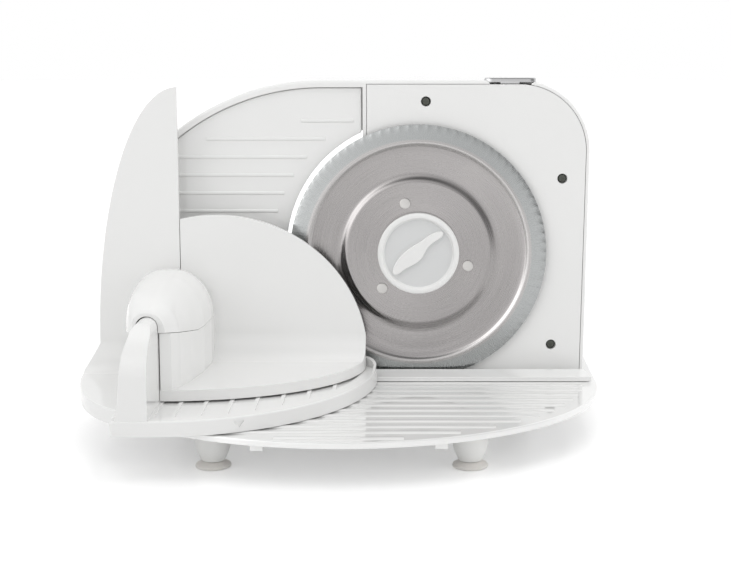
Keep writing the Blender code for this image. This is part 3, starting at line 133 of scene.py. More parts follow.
# Blade
blade_x = 0.0515
blade_z = 0.1252
blade_radius = 0.0948
blade_thick = 0.001
blade_teeth = 84
tooth_steps = 8
tooth_deep = 0.0001
facet_wide = 0.0017
facet_wave = 0.0018
facet_deep = 0.0008
facet_hollow = 0.00006
facet_round = 0.8
edge_thick = 0.0003
bevel_wide = 0.011
bevel_rise = 0.0019
crest_wide = 0.0025
crest_rise = 0.0023
# Radius outside which the crest is painted lighter, a painted highlight
crest_highlight_radius = 0.0793
step_wide = 0.003
hollow_outer = 0.0003
hollow_radius = 0.060
hollow_deep = 0.0011
crease_wide = 0.003
crease_deep = 0.0009
disc_radius = 0.0535
disc_rise = 0.0016
blade_hole = 0.009
blade_bend = 0.42
blade_bend_steps = 6
blade_sharp = 30
rivet_circle = 0.038
rivet_first = 105
rivet_count = 3
rivet_radius = 0.004
rivet_head = 0.0006
rivet_shoulder = 0.00015
rivet_shoulder_high = 0.00042
rivet_shank = 0.0021
rivet_length = 0.0065
axle_front = 0.0016

# Locking knob
knob_radius = 0.0301
knob_ring = 0.0049
knob_slope = 0.0012
knob_front = 0.0075
knob_disc = 0.005
knob_back = 0.0019
knob_round = 0.0008
knob_sharp = 32
knob_straight = -0.98
knob_faces_front = -0.9
stem_radius = 0.0085
stem_bore = 0.0044
stem_groove = 0.0069
stem_end = 0.0058
groove_front = 0.001
groove_rear = 0.004
pin_radius = 0.0012
grip_front = 0.0074
grip_soft = 0.00072
leaf_steps = 4
leaf_points = (
    (-0.0191, -0.0133),
    (-0.0178, -0.0089),
    (-0.0152, -0.0046),
    (-0.0116, -0.0003),
    (-0.0074, 0.0032),
    (-0.0032, 0.0062),
    (0.0016, 0.0089),
    (0.0059, 0.0122),
    (0.0102, 0.0150),
    (0.0138, 0.0163),
    (0.0170, 0.0166),
    (0.0182, 0.0155),
    (0.0176, 0.0129),
    (0.0145, 0.0105),
    (0.0102, 0.0076),
    (0.0066, 0.0040),
    (0.0044, 0.0),
    (0.0020, -0.0040),
    (-0.0017, -0.0072),
    (-0.0056, -0.0093),
    (-0.0099, -0.0115),
    (-0.0135, -0.0143),
    (-0.0163, -0.0158),
    (-0.0185, -0.0152),
)

# Housing, front panel and screws
housing_front = 0.0035
housing_rear = 0.080
housing_top = 0.252
housing_soft = 0.0022
housing_back_soft = 0.003
hood_left = 0.176
hood_middle = 0.020
hood_radius = 0.173
hood_wall = 0.005
hood_rear = 0.061
hood_steps = 48
block_left = 0.0106
block_right = 0.178
block_taper = 0.003
block_corner = 0.052
block_wall = 0.0026
block_steps = 36
bulge_radius = 0.0468
bulge_steps = 20
panel_thick = 0.0024
panel_hole = 0.0412
screw_places = ((0.057, 0.2366), (0.1578, 0.1797), (0.1507, 0.0547))
screw_recess = 0.0037
screw_cup_wall = 0.0016
screw_cup = 0.0035
screw_head = 0.0033
screw_head_thick = 0.0016
screw_sink = 0.0024
screw_shank = 0.0015
screw_reach = 0.013
screw_slot = 0.0038
screw_slot_wide = 0.0009
screw_slot_deep = 0.0009
boss_radius = 0.0045
bore_play = 0.0004
boss_step = 0.0004
flange_front = 0.024
flange_thick = 0.0015
flange_reach = 0.003
web_front = 0.058
web_right = 0.058
web_top = 0.150
web_corner = 0.030
web_steps = 16
vent_first = 0.070
vent_pitch = 0.0085
vent_count = 9
vent_wide = 0.0035
vent_low = 0.148
vent_high = 0.196
vent_steps = 8
inlet_place = (0.126, 0.052)
inlet_radius = 0.0078
base_screw_places = ((0.032, 0.018), (0.032, 0.066), (0.162, 0.018), (0.162, 0.066))
base_boss = 0.012

# Power button
button_left = 0.100
button_right = 0.138
button_front = 0.0038
button_rear = 0.015
button_top = 0.2538
button_low = 0.2509
button_round = 0.0011
button_steps = 24
button_slot_steps = 12
button_stem_wide = 0.014
button_stem_deep = 0.004
button_stem_low = 0.242
switch_wide = 0.020
switch_deep = 0.011
switch_front = 0.0075
switch_cheek = 0.002
switch_cheek_low = 0.226

# Thickness plate, its guides and its dial
gauge_front = 0.0055
gauge_skin = 0.003
gauge_deep = 0.0075
gauge_lip = 0.002
gauge_low = 0.0015
gauge_side = 0.0012
gauge_under = 0.0007
gauge_blade = 0.0033
gauge_steps = 60
gauge_bite_steps = 72
gauge_rib_first = 0.2224
gauge_rib_pitch = 0.0134
gauge_rib_count = 12
gauge_rib_wide = 0.0026
gauge_rib_high = 0.0007
gauge_rib_right = 0.0135
gauge_rib_reach = 0.236
gauge_rib_rise = 0.145
gauge_rib_left = 0.021
gauge_rib_steps = 10
sleeve_radius = 0.0065
sleeve_rear = 0.034
rod_radius = 0.003
rod_play = 0.0004
rod_places = ((-0.152, 0.064), (-0.080, 0.132))
dial_x = -0.115
dial_z = 0.095
nut_radius = 0.009
spindle_radius = 0.004
dial_radius = 0.027
dial_thick = 0.017
dial_lobes = 10
dial_lobe_deep = 0.0016
dial_lobe_steps = 16
dial_skirt = 0.031
dial_skirt_thick = 0.003

# Carriage
tray_x = -0.121
tray_y = 0.008
tray_half = 0.1425
tray_deep = 0.1498
tray_high = 0.0114
tray_rear = 0.005
tray_wall = 0.003
tray_end_x = 0.012
tray_end_y = 0.014
tray_end_steps = 14
tray_steps = 72
hand_x = -0.123
hand_y = 0.012
hand_half = 0.070
hand_deep = 0.127
hand_steps = 42
tray_soft = 0.0012
rim_wide = 0.010
pocket_deep = 0.0010
pocket_back = 0.018
pocket_first = 0.0116
pocket_pitch = 0.0168
pocket_count = 8
pocket_rib = 0.0026
pocket_floor = 0.0024
pocket_steps = 10
hook_room = 0.0004
wall_right = -0.1225
wall_thick = 0.014
wall_high = 0.0699
wall_flare = 0.0098
wall_front = 0.1572
wall_crown = 0.043
wall_fall = 0.030
wall_steps = 32
crown_steps = 24
wall_flare_shares = (
    (0.0, 1.0),
    (0.09, 0.9),
    (0.18, 0.68),
    (0.3, 0.56),
    (0.5, 0.45),
    (0.67, 0.34),
    (0.84, 0.24),
)
flare_steps = 5
sail_right = -0.1228
sail_back = 0.0115
sail_thick = 0.003
sail_half = 0.060
sail_base = 0.030
sail_rise = 0.188
sail_steps = 60
scoop = 0.020
scoop_left = -0.1928
scoop_shares = ((0.68, 0.32), (0.30, 0.70))
scoop_steps = 24
scoop_edge_steps = 6
ear_thick = 0.0018
ear_high = 0.0072
ear_reach = 0.030
ear_left = 0.006
mark_x = -0.065
mark_half = 0.0032
mark_high = 0.0046
mark_deep = 0.0008

# Pusher and its cap
shield_x = -0.096
shield_z = 0.020
shield_half = 0.110
shield_rise = 0.105
shield_back = 0.0115
shield_thick = 0.003
shield_steps = 80
pusher_low = 0.0120
pusher_floor_top = 0.0195
pusher_floor = 0.0027
pusher_line = 0.013
pusher_right = 0.0128
pusher_front = 0.111
pusher_fillet = 0.018
pusher_fillet_steps = 24
pusher_plan_steps = 60
pusher_skirt = 0.0024
shield_foot = 0.006
grip_right = -0.0982
grip_nose = 0.0067
seam_front = 0.0590
seam_rear = 0.0520
seam_bend = 0.068
grip_shares = (
    (0.0, 0.0),
    (0.025, 0.06),
    (0.10, 0.33),
    (0.28, 0.61),
    (0.565, 0.90),
    (0.83, 1.0),
    (1.0, 1.0),
)
grip_steps = 40
spike_long = 0.0028
spike_wide = 0.0032
spike_pitch_x = 0.018
spike_pitch_z = 0.016
spike_margin = 0.014
spike_sides = 4
cap_rear = 0.0150
cap_front = 0.113
cap_left = -0.152
cap_crown = 0.0884
cap_left_power = 0.62
cap_right_power = 1.0
cap_steps = 6
cap_round_steps = 36
cap_sharp = 45
flare_room = 0.0026
cap_length_shares = (0.0, 0.03, 0.09, 0.22, 0.40, 0.56, 0.70, 0.82, 0.92, 0.97, 1.0)
cap_left_shares = (0.10, 0.04, 0.01, 0.0, 0.0, 0.02, 0.05, 0.09, 0.14, 0.185, 0.235)
cap_right_shares = (0.02, 0.0, 0.0, 0.0, 0.0, 0.0, 0.0, 0.0, 0.0, 0.01, 0.04)
cap_rise_shares = (0.74, 0.87, 0.95, 1.0, 0.98, 0.93, 0.84, 0.73, 0.60, 0.53, 0.46)

# Rounding of edges: its width on plain edges and on rims, the share of a short side that it may take, the
# cosine above which a corner isn't near straight, the reach within which points become one, and the angles
# from which an edge is drawn crisp or a rim is rounded
soft = 0.0004
rim_soft = 0.0009
side_share = 0.45
near_straight = -0.7
weld_reach = 0.00001
rim_steps = 4
crisp = 38
rim_angle = 50

# Places that follow from the sizes above
plate_seat = plate_top + gap
tray_low = plate_top + rib_high + gap
tray_top = plate_top + tray_high
wall_top = plate_top + wall_high
wall_round = wall_thick / 2
bevel_slope = (bevel_rise - facet_deep) / (bevel_wide - facet_wide)
panel_back = housing_front + panel_thick
hood_z = housing_top - hood_radius
rear_wall = housing_rear - block_wall
button_middle = (button_left + button_right) / 2
screw_bore = screw_shank + bore_play
hub = (blade_x, blade_z)
dial_place = (dial_x, dial_z)
span_left = hand_x - hand_half

# Finishes. A grain is as large as the real one; where that is too fine to show, it is as coarse as it needs.
# Gloss is the least and the most roughness, relief a height and the strength at which it shows, and
# noise_span the part of a noise's range that it really uses.
abs_ior = 1.53
nylon_ior = 1.53
acetal_ior = 1.48
silicone_ior = 1.41
noise_span = (0.3, 0.7)
mould_flow = 0.060
mould_gloss = (0.05, 0.09)
mould_wave = 0.009
mould_relief = (0.00002, 0.5)
wipe_mark = 0.025
waxed_relief = (0.00002, 0.08)
wax_ior = 2.5
wax_rough = 0.01
spark_grain = 0.0005
spark_gloss = (0.3, 0.48)
spark_relief = (0.00003, 0.6)
disc_grain = 0.0007
disc_gloss = (0.3, 0.45)
disc_relief = (0.00003, 0.5)
dust_patch = 0.004
silicone_gloss = (0.35, 0.6)
silicone_share = 0.25
silicone_depth = 0.0015
fibre_length = 0.0009
nylon_gloss = (0.42, 0.6)
acetal_gloss = (0.3, 0.45)
chrome_gloss = (0.1, 0.2)
chrome_relief = (0.00002, 0.6)
bronze_pore = 0.0004
bronze_rough = 0.5
tool_mark = 0.0004
tool_relief = (0.00001, 0.4)
drawn_gloss = (0.16, 0.3)
rivet_gloss = (0.3, 0.42)
dark_screw_gloss = (0.35, 0.5)
zinc_gloss = (0.3, 0.45)
polish_line = 0.0006
polish_arcs = 1.2
polish_cloud = 0.050
polish_gloss = (0.2, 0.33)
polish_drawn = 0.75
# Strength of the painted highlight tint on the blade's crest
crest_highlight_share = 0.55
grind_lines = 260
grind_run = 0.012
grind_relief = (0.00001, 0.25)

# Studio. The floor's glow grows between near and far. Each fade of what mirrors see goes along one axis of
# their look, from one place and level to another, and ends where they look behind the machine. A softbox has
# its place, what it points at, its width and height, its power, and whether mirrors see it.
floor_radius = 6.0
floor_sides = 120
floor_thick = 0.02
floor_gap = 0.0002
floor_rough = 0.25
floor_glow = 0.25
floor_far_glow = 0.5
floor_near = 0.4
floor_far = 1.3
room_level = 0.71
mirror_fades = (("Z", 0.62, 0.92, 0.85, 0.12), ("X", -0.7, 0.1, 2.2, 1.0), ("X", 0.35, 0.7, 1.0, 0.4))
mirror_turn = (-0.1, 0.3)
softboxes = {
    "top_softbox": ((0.1, -0.25, 1.5), (0, 0, 0.1), 1.6, 1.2, 6.5, False),
    "left_softbox": ((-1.3, -0.9, 0.9), (0, 0, 0.12), 1.0, 1.2, 4.6, True),
    "right_softbox": ((1.5, -0.5, 0.5), (0, 0, 0.12), 1.0, 1.0, 4.8, False),
}

# Camera; the photograph is photo_wide pixels wide, and lens_pixels is its focal length in them
photo_wide = 731
lens_pixels = 1436
camera_place = (0.05375, -1.013, 0.2976)
camera_pitch = 7.5
camera_shift_x = -0.0677
camera_shift_y = -0.110


def arc(centre, radii, start, end, steps):
    """Points on an arc with one radius or two, both ends included, with its angles in degrees."""
    across, up = radii if isinstance(radii, tuple) else (radii, radii)
    points = []
    for i in range(steps + 1):
        angle = math.radians(start + (end - start) * i / steps)
        points.append((centre[0] + across * math.cos(angle), centre[1] + up * math.sin(angle)))
    return points


def slot_loop(first, last, half, start, steps):
    """Outline of a slot with round ends about two places, drawn from the angle at which the first starts."""
    turn = start + 180
    return arc(first, half, start, turn, steps) + arc(last, half, turn, turn + 180, steps)


def box_loop(low_u, high_u, low_v, high_v):
    return [(low_u, low_v), (high_u, low_v), (high_u, high_v), (low_u, high_v)]


def bent(start, corner, end, steps):
    """Points on the curve that leaves start towards the corner, and comes from there to end."""
    points = []
    for i in range(steps + 1):
        share = i / steps
        point = start.lerp(corner, share).lerp(corner.lerp(end, share), share)
        points.append((point.x, point.y))
    return points


def eased(points, radius, steps=3, closed=True, straight=near_straight):
    """The same outline, its corners rounded by radius, or less on short sides; near straight ones stay."""
    out = []
    last = len(points) - 1
    for i, corner in enumerate(points):
        here, before = Vector(corner), Vector(points[i - 1])
        after = Vector(points[(i + 1) % len(points)])
        back, on = before - here, after - here
        turns = back.length and on.length and back.normalized().dot(on.normalized()) > straight
        if turns and (closed or 0 < i < last):
            start = here + back.normalized() * min(radius, back.length * side_share)
            end = here + on.normalized() * min(radius, on.length * side_share)
            out += bent(start, here, end, steps)
        else:
            out.append(tuple(corner))
    return out


def curve_through(points, steps):
    """A smooth line through the points, steps to each span."""
    line = []
    ends = [points[0], *points, points[-1]]
    for k in range(1, len(ends) - 2):
        before, here, after, beyond = (Vector(ends[k + i]) for i in (-1, 0, 1, 2))
        for i in range(steps):
            t = i / steps
            point = here * 2 + (after - before) * t
            point += (before * 2 - here * 5 + after * 4 - beyond) * t * t
            point += (here * 3 - before - after * 3 + beyond) * t * t * t
            line.append(tuple(point / 2))
    return line + [tuple(points[-1])]


def placed(axis, u, v, w):
    """The point that lies at (u, v) in the section and at w along the axis."""
    return {"x": (w, u, v), "y": (u, w, v), "z": (u, v, w)}[axis]


def add_rings(mesh, rings, looped=False):
    """Joins rings of equally many points, and then the last to the first, or closes both ends."""
    verts = [[mesh.verts.new(point) for point in ring] for ring in rings]
    for low, high in zip(verts, verts[1:] + verts[:1] * looped):
        for i in range(len(low)):
            j = (i + 1) % len(low)
            mesh.faces.new((low[i], low[j], high[j], high[i]))
    return [] if looped else [mesh.faces.new(verts[0]), mesh.faces.new(verts[-1])]


def add_prism(mesh, loop, axis, low, high, low_soft=0, high_soft=0, soft_steps=4):
    """Extrudes a section between two places on an axis, with either end's rim rounded if asked."""
    rings = [[placed(axis, u, v, w) for u, v in loop] for w in (low, high)]
    caps = add_rings(mesh, rings)
    bmesh.ops.recalc_face_normals(mesh, faces=mesh.faces)
    for cap, rim in zip(caps, (low_soft, high_soft)):
        if rim:
            rounding = {"offset": rim, "segments": soft_steps, "profile": 0.5, "affect": "EDGES"}
            bmesh.ops.bevel(mesh, geom=cap.edges[:], **rounding)


def add_turned(mesh, profile, axis, steps, centre=(0, 0)):
    """Turns a closed profile of (radius, place) points about an axis through centre."""
    rings = []
    for radius, w in profile:
        if radius:
            around = arc(centre, radius, 0, 360 - 360 / steps, steps - 1)
            rings.append([mesh.verts.new(placed(axis, u, v, w)) for u, v in around])
        else:
            rings.append([mesh.verts.new(placed(axis, centre[0], centre[1], w))])
    pairs = list(zip(rings, rings[1:]))
    if profile[0][0]:
        pairs.append((rings[-1], rings[0]))
    for low, high in pairs:
        for i in range(steps):
            j = (i + 1) % steps
            corners = [low[i % len(low)], low[j % len(low)], high[j % len(high)], high[i % len(high)]]
            mesh.faces.new(list(dict.fromkeys(corners)))
    bmesh.ops.recalc_face_normals(mesh, faces=mesh.faces)


def add_rod(mesh, radius, axis, low, high, steps, centre=(0, 0)):
    add_turned(mesh, [(0, low), (radius, low), (radius, high), (0, high)], axis, steps, centre)


def add_loft(mesh, rings, looped=False):
    add_rings(mesh, rings, looped)
    bmesh.ops.recalc_face_normals(mesh, faces=mesh.faces)


def prism_of(*values, **more):
    """A call that adds the prism to a mesh, as shape, cut, join and keep take it; so do those below."""
    return lambda mesh: add_prism(mesh, *values, **more)


def rod_of(*values):
    return lambda mesh: add_rod(mesh, *values)


def rods_of(radius, axis, ends, sides, places):
    return [rod_of(radius, axis, *ends, sides, place) for place in places]


def turned_of(*values):
    return lambda mesh: add_turned(mesh, *values)


def loft_of(*values, **more):
    return lambda mesh: add_loft(mesh, *values, **more)


def new_object(name, data):
    """An object that holds the data, put in the scene."""
    added = bpy.data.objects.new(name, data)
    bpy.context.scene.collection.objects.link(added)
    return added


def shape(name, *shapes):
    """An object that holds the shapes, each a call that adds one to a mesh."""
    mesh = bmesh.new()
    for each in shapes:
        each(mesh)
    data = bpy.data.meshes.new(name)
    mesh.to_mesh(data)
    mesh.free()
    return new_object(name, data)


def settle(piece):
    """Turns the piece's modifiers into plain mesh."""
    graph = bpy.context.evaluated_depsgraph_get()
    data = bpy.data.meshes.new_from_object(piece.evaluated_get(graph))
    old = piece.data
    piece.modifiers.clear()
    piece.data = data
    bpy.data.meshes.remove(old)


def combine(piece, operation, *shapes):
    """Cuts the shapes, or one object, from the piece, joins them to it, or keeps what they share."""
    other = shapes[0] if isinstance(shapes[0], bpy.types.Object) else shape("tool", *shapes)
    change = piece.modifiers.new("tool", "BOOLEAN")
    change.operation = operation
    change.solver = "EXACT"
    change.object = other
    settle(piece)
    bpy.data.objects.remove(other)
    return piece


def cut(piece, *shapes):
    return combine(piece, "DIFFERENCE", *shapes)


def join(piece, *shapes):
    return combine(piece, "UNION", *shapes)


def keep(piece, *shapes):
    return combine(piece, "INTERSECT", *shapes)


def ease_edges(piece, width=soft, steps=2, angle=crisp):
    """Rounds every crisp edge a little, as a mould or a deburring tool leaves it."""
    weld = piece.modifiers.new("weld", "WELD")
    weld.merge_threshold = weld_reach
    bevel = piece.modifiers.new("bevel", "BEVEL")
    bevel.width = width
    bevel.segments = steps
    bevel.limit_method = "ANGLE"
    bevel.angle_limit = math.radians(angle)
    bevel.use_clamp_overlap = True
    settle(piece)
    return piece


def dress(piece, body, finish, node, angle=crisp):
    """Puts the finished piece in the frame: place, finish, shading and body, and hides the part it stands
    for.
    """
    piece.data.transform(Matrix.Translation(MACHINE))
    piece.data.materials.clear()
    piece.data.materials.append(finish)
    piece.data.shade_smooth()
    piece.data.set_sharp_from_angle(angle=math.radians(angle))
    even = piece.modifiers.new("even", "WEIGHTED_NORMAL")
    even.keep_sharp = True
    settle(piece)
    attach(piece, body)
    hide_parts(node)


def plate_loop(inset):
    """Outline of the base plate from above: a half ellipse in front, rounded corners behind."""
    half, corner = plate_half - inset, plate_corner - inset
    rear = plate_rear - inset
    loop = arc((0, -plate_line), (half, plate_front - inset), 180, 360, plate_steps)
    loop += arc((half - corner, rear - corner), corner, 0, 90, plate_corner_steps)
    return loop + arc((corner - half, rear - corner), corner, 90, 180, plate_corner_steps)


def plate_half_at(depth):
    """Half the width of the plate's outline at a depth in front of the blade."""
    share = (depth - plate_line) / plate_front
    return plate_half * math.sqrt(1 - share * share)


def make_base(white):
    """Base plate: a thin moulded tray upside down, with raised ribs in front of the blade."""
    low = plate_top - plate_edge
    under = plate_top - plate_skin
    plate = shape("base_plate", prism_of(plate_loop(0), "z", low, plate_top, high_soft=plate_soft))
    cut(plate, prism_of(plate_loop(plate_rim), "z", low - over, under))
    webs = []
    for y in web_places:
        half = plate_half_at(max(-y, plate_line)) - plate_rim / 2
        webs.append(prism_of(box_loop(-half, half, y, y + web_thick), "z", low, under + rib_root))
    join(plate, *webs)
    ribs = []
    for i in range(rib_count):
        depth = rib_first + i * rib_pitch
        half = plate_half_at(depth + rib_wide / 2) - rib_inset
        crown = arc((-depth, plate_top), (rib_wide / 2, rib_high), 0, 180, rib_steps)
        root = plate_top - rib_root
        foot = [(-depth - rib_wide / 2, root), (-depth + rib_wide / 2, root)]
        ribs.append(prism_of(crown + foot, "x", -half, half))
    join(plate, *ribs)
    tabs = []
    for x, y in tab_places:
        loop = box_loop(x - tab_wide / 2, x + tab_wide / 2, y - tab_deep / 2, y + tab_deep / 2)
        tabs.append(prism_of(eased(loop, soft * 2), "z", low - tab_high, under + rib_root))
    join(plate, *tabs)
    ends = low - over, plate_top + over
    cut(plate, *rods_of(screw_bore, "z", ends, bore_sides, base_screw_places))
    ease_edges(plate)
    dress(plate, "machine", white, "base_plate")


def make_rail(white):
    """The wedge-topped rail that the carriage hooks over, with its right end cut on a slant."""
    section = [
        (-rail_front, plate_seat),
        (-rail_front, plate_top + rail_low_side),
        (-rail_back, plate_top + rail_high_side),
        (-rail_back, plate_seat),
    ]
    slant = rail_slant / (rail_front - rail_back)
    left = [(-rail_left, y, z) for y, z in section]
    right = [(rail_right - slant * (y + rail_front), y, z) for y, z in section]
    rail = shape("guide_rail", loft_of([left, right]))
    ease_edges(rail, soft, 3)
    dress(rail, "machine", white, "guide_rail")


def make_feet(satin, rubber):
    """Four moulded cones under the plate, each with a suction cup pushed up into it."""
    top = plate_top - plate_skin - gap
    bore = cup_stem_radius + gap
    bore_top = leg_low + cup_stem + gap
    leg = [
        (0, top),
        (leg_top_radius, top),
        (leg_top_radius, top - leg_flange),
        *curve_through(leg_points, leg_steps),
        (leg_points[-1][0] - step, skirt_low),
        (skirt_bore, skirt_low),
        (skirt_bore, leg_low),
        (bore, leg_low),
        (bore, bore_top),
        (0, bore_top),
    ]
    leg = eased(leg, soft * 2, closed=False)
    neck = leg_low - gap
    cup = [
        (0, cup_hollow),
        (cup_hollow_radius, 0),
        (cup_radius, 0),
        (cup_radius, cup_lip),
        (cup_neck_radius, (cup_lip + neck) / 2),
        (cup_neck_radius, neck),
        (cup_stem_radius, neck),
        (cup_stem_radius, leg_low + cup_stem),
        (0, leg_low + cup_stem),
    ]
    cup = eased(cup, soft * 2, 4, closed=False)
    for name, place in foot_places.items():
        piece = shape("leg_" + name, turned_of(leg, "z", foot_sides, place))
        dress(piece, "machine", satin, "leg_" + name)
        piece = shape("suction_cup_" + name, turned_of(cup, "z", foot_sides, place))
        dress(piece, "machine", rubber, "suction_cup_" + name)


def hub_arc(radius, edge, steps, turn=1):
    """The arc about the blade's axis on the left of an upright edge, downwards, or upwards with turn -1."""
    swing = turn * math.degrees(math.acos((blade_x - edge) / radius))
    return arc(hub, radius, 180 - swing, 180 + swing, steps)


def block_loop(inset):
    """Outline of the motor block from the front, drawn in by inset, bulging left round the worm wheel."""
    left, low, top = block_left + inset, plate_seat + inset, housing_top - inset
    right, corner, bulge = block_right - inset, block_corner - inset, bulge_radius - inset
    loop = [(left, low)] + hub_arc(bulge, left, bulge_steps, turn=-1) + [(left, top)]
    loop += arc((right - corner, top - corner), corner, 90, 0, block_steps)
    return loop + [(right - block_taper, low)]


def bulge_down(inset, above, below):
    """The block's left side from above to below, for the outline of the space beside it."""
    left, bulge = block_left + inset, bulge_radius - inset
    return [(left, above)] + hub_arc(bulge, left, bulge_steps) + [(left, below)]


def hood_arc(inset):
    """The hood's arc from its upright left side to the top, drawn in by inset."""
    radius = hood_radius - inset
    start = math.degrees(math.acos((hood_left - inset - hood_middle) / radius))
    return arc((-hood_middle, hood_z), radius, 180 - start, 90, hood_steps)


def shadow_flanges(inner_top):
    """Low flanges inside hood and block, behind the thickness plate, that close the view past its edges."""
    right = block_left + block_wall / 2
    outer, inner = (
        [(inset - hood_left, plate_seat), *hood_arc(inset), (right, hood_z + hood_radius - inset)]
        for inset in (hood_wall - step * 2, hood_wall + flange_reach)
    )
    edge = block_left - gauge_side
    foot = blade_z + math.sqrt((blade_radius + gauge_blade) ** 2 - (blade_x - edge) ** 2)
    strip = box_loop(block_left - flange_reach, right, foot, inner_top + step)
    ends = flange_front, flange_front + flange_thick
    return prism_of(outer + inner[::-1], "y", *ends), prism_of(strip, "y", *ends)


def make_housing(white):
    """Hood and motor block in one moulding, open in front for the panel and under the hood for the slices."""
    outline = [(-hood_left, plate_seat)] + hood_arc(0)
    corner = (block_right - block_corner, housing_top - block_corner)
    outline += arc(corner, block_corner, 90, 0, block_steps)
    outline += [(block_right - block_taper, plate_seat)]
    rims = {"low_soft": housing_soft, "high_soft": housing_back_soft, "soft_steps": 5}
    housing = shape("housing", prism_of(outline, "y", housing_front, housing_rear, **rims))
    low, inner_top = plate_seat - over, housing_top - hood_wall
    left = -hood_left + hood_wall
    inside = hood_arc(hood_wall) + bulge_down(0, inner_top, low)
    cut(housing, prism_of([(left, low)] + inside, "y", housing_front - over, web_front))
    corner = (-web_right - web_corner, web_top - web_corner)
    rear_arch = [(-web_right, low)] + arc(corner, web_corner, 0, 90, web_steps)
    rear_arch += [(left, web_top)] + inside
    cut(housing, prism_of(rear_arch, "y", web_front - over, housing_rear + over))
    behind = [(-hood_left - over, low), (-hood_left - over, housing_top + over)]
    behind += bulge_down(0, housing_top + over, low)
    cut(housing, prism_of(behind, "y", hood_rear, housing_rear + over))
    cut(housing, prism_of(block_loop(block_wall), "y", housing_front - over, rear_wall))

    boss_front = panel_back + screw_cup + gap + boss_step
    inner_low = plate_seat + block_wall / 2
    ends = boss_front, rear_wall + block_wall / 2
    bosses = rods_of(boss_radius, "y", ends, rod_sides, screw_places)
    ends = inner_low, inner_low + base_boss
    bosses += rods_of(boss_radius, "z", ends, bore_sides, base_screw_places)
    cheek_top = housing_top - block_wall / 2
    for side in (-1, 1):
        inner = button_middle + side * (switch_wide / 2 + gap)
        ends = sorted((inner, inner + side * switch_cheek))
        loop = box_loop(*ends, switch_front, switch_front + switch_deep)
        bosses.append(prism_of(loop, "z", switch_cheek_low, cheek_top))
    join(housing, *bosses)
    for flange in shadow_flanges(inner_top):
        join(housing, flange)

    ends = boss_front - over, boss_front + screw_reach
    bores = rods_of(screw_bore, "y", ends, bore_sides, screw_places)
    ends = plate_seat - over, inner_low + base_boss - boss_step
    bores += rods_of(screw_bore, "z", ends, bore_sides, base_screw_places)
    ends = web_front - over, hood_rear + over
    bores += rods_of(rod_radius + rod_play, "y", ends, rod_sides, rod_places)
    bores.append(rod_of(spindle_radius + rod_play, "y", *ends, rod_sides, dial_place))
    ends = rear_wall - over, housing_rear + over
    bores.append(rod_of(inlet_radius, "y", *ends, head_sides, inlet_place))
    half = vent_wide / 2
    for i in range(vent_count):
        x = vent_first + i * vent_pitch + half
        vent = slot_loop((x, vent_high - half), (x, vent_low + half), half, 0, vent_steps)
        bores.append(prism_of(vent, "y", *ends))
    ends = housing_top - block_wall - over / 2, housing_top + over
    bores.append(prism_of(button_loop(run, button_slot_steps), "z", *ends))
    cut(housing, *bores)
    ease_edges(housing)
    dress(housing, "machine", white, "housing")


def cross_loop(reach, width, centre):
    """The outline of a cross recess: four arms of one width."""
    half = width / 2
    corners = [(half, half), (half, reach), (-half, reach), (-half, half)]
    loop = []
    for turn in range(4):
        for u, v in corners:
            for _ in range(turn):
                u, v = -v, u
            loop.append((centre[0] + u, centre[1] + v))
    return loop


def make_panel(white, steel):
    """The flat panel in front of the motor room, and its three screws in their cups."""
    loop = block_loop(block_wall + gap)
    sheet = prism_of(loop, "y", housing_front, panel_back, low_soft=soft, soft_steps=3)
    panel = shape("front_panel", sheet)
    cup, cup_end = screw_recess + screw_cup_wall, panel_back + screw_cup
    ends = housing_front + panel_thick / 2, cup_end
    join(panel, *rods_of(cup, "y", ends, head_sides, screw_places))
    before, seat = housing_front - over, housing_front + screw_sink + screw_head_thick + gap
    well = [(0, before), (screw_recess, before), (screw_recess, seat)]
    well += [(screw_bore, seat), (screw_bore, cup_end + over), (0, cup_end + over)]
    wells = [turned_of(well, "y", head_sides, place) for place in screw_places]
    cut(panel, rod_of(panel_hole, "y", before, panel_back + over, knob_sides, hub), *wells)
    ease_edges(panel, soft / 2)
    dress(panel, "machine", white, "front_panel")

    head = housing_front + screw_sink
    under = head + screw_head_thick
    for i, place in enumerate(screw_places, 1):
        round_head = [(0, head), (screw_head - soft * 2, head), (screw_head, head + soft * 2)]
        profile = round_head + [(screw_head, under), (screw_shank, under)]
        profile += [(screw_shank, under + screw_reach), (0, under + screw_reach)]
        screw = shape(f"panel_screw_{i}", turned_of(profile, "y", head_sides, place))
        cross = cross_loop(screw_slot / 2, screw_slot_wide, place)
        cut(screw, prism_of(cross, "y", head - over, head + screw_slot_deep))
        dress(screw, "machine", steel, f"panel_screw_{i}")


def blade_profile():
    """Radius and height of the blade's front face, from the ground edge in to the hole."""
    ground = blade_radius - bevel_wide
    crest = ground - crest_wide
    dish = [
        (ground + crest_wide * 2, bevel_slope * crest_wide * 2 - bevel_rise),
        (ground, -bevel_rise),
        (crest, -crest_rise),
        (crest - step_wide, hollow_outer),
        (hollow_radius + crease_wide, hollow_deep - soft / 2),
        (hollow_radius, hollow_deep),
        (hollow_radius - crease_wide, crease_deep),
        (disc_radius, -disc_rise),
        (disc_radius - crease_wide, -disc_rise),
        (rivet_circle, -disc_rise),
        (blade_hole, -disc_rise),
    ]
    inner = [dish[0]]
    for i in range(1, len(dish) - 1):
        here, before, after = Vector(dish[i]), Vector(dish[i - 1]), Vector(dish[i + 1])
        inner += bent(here.lerp(before, blade_bend), here, here.lerp(after, blade_bend), blade_bend_steps)
    return inner + [dish[-1]]


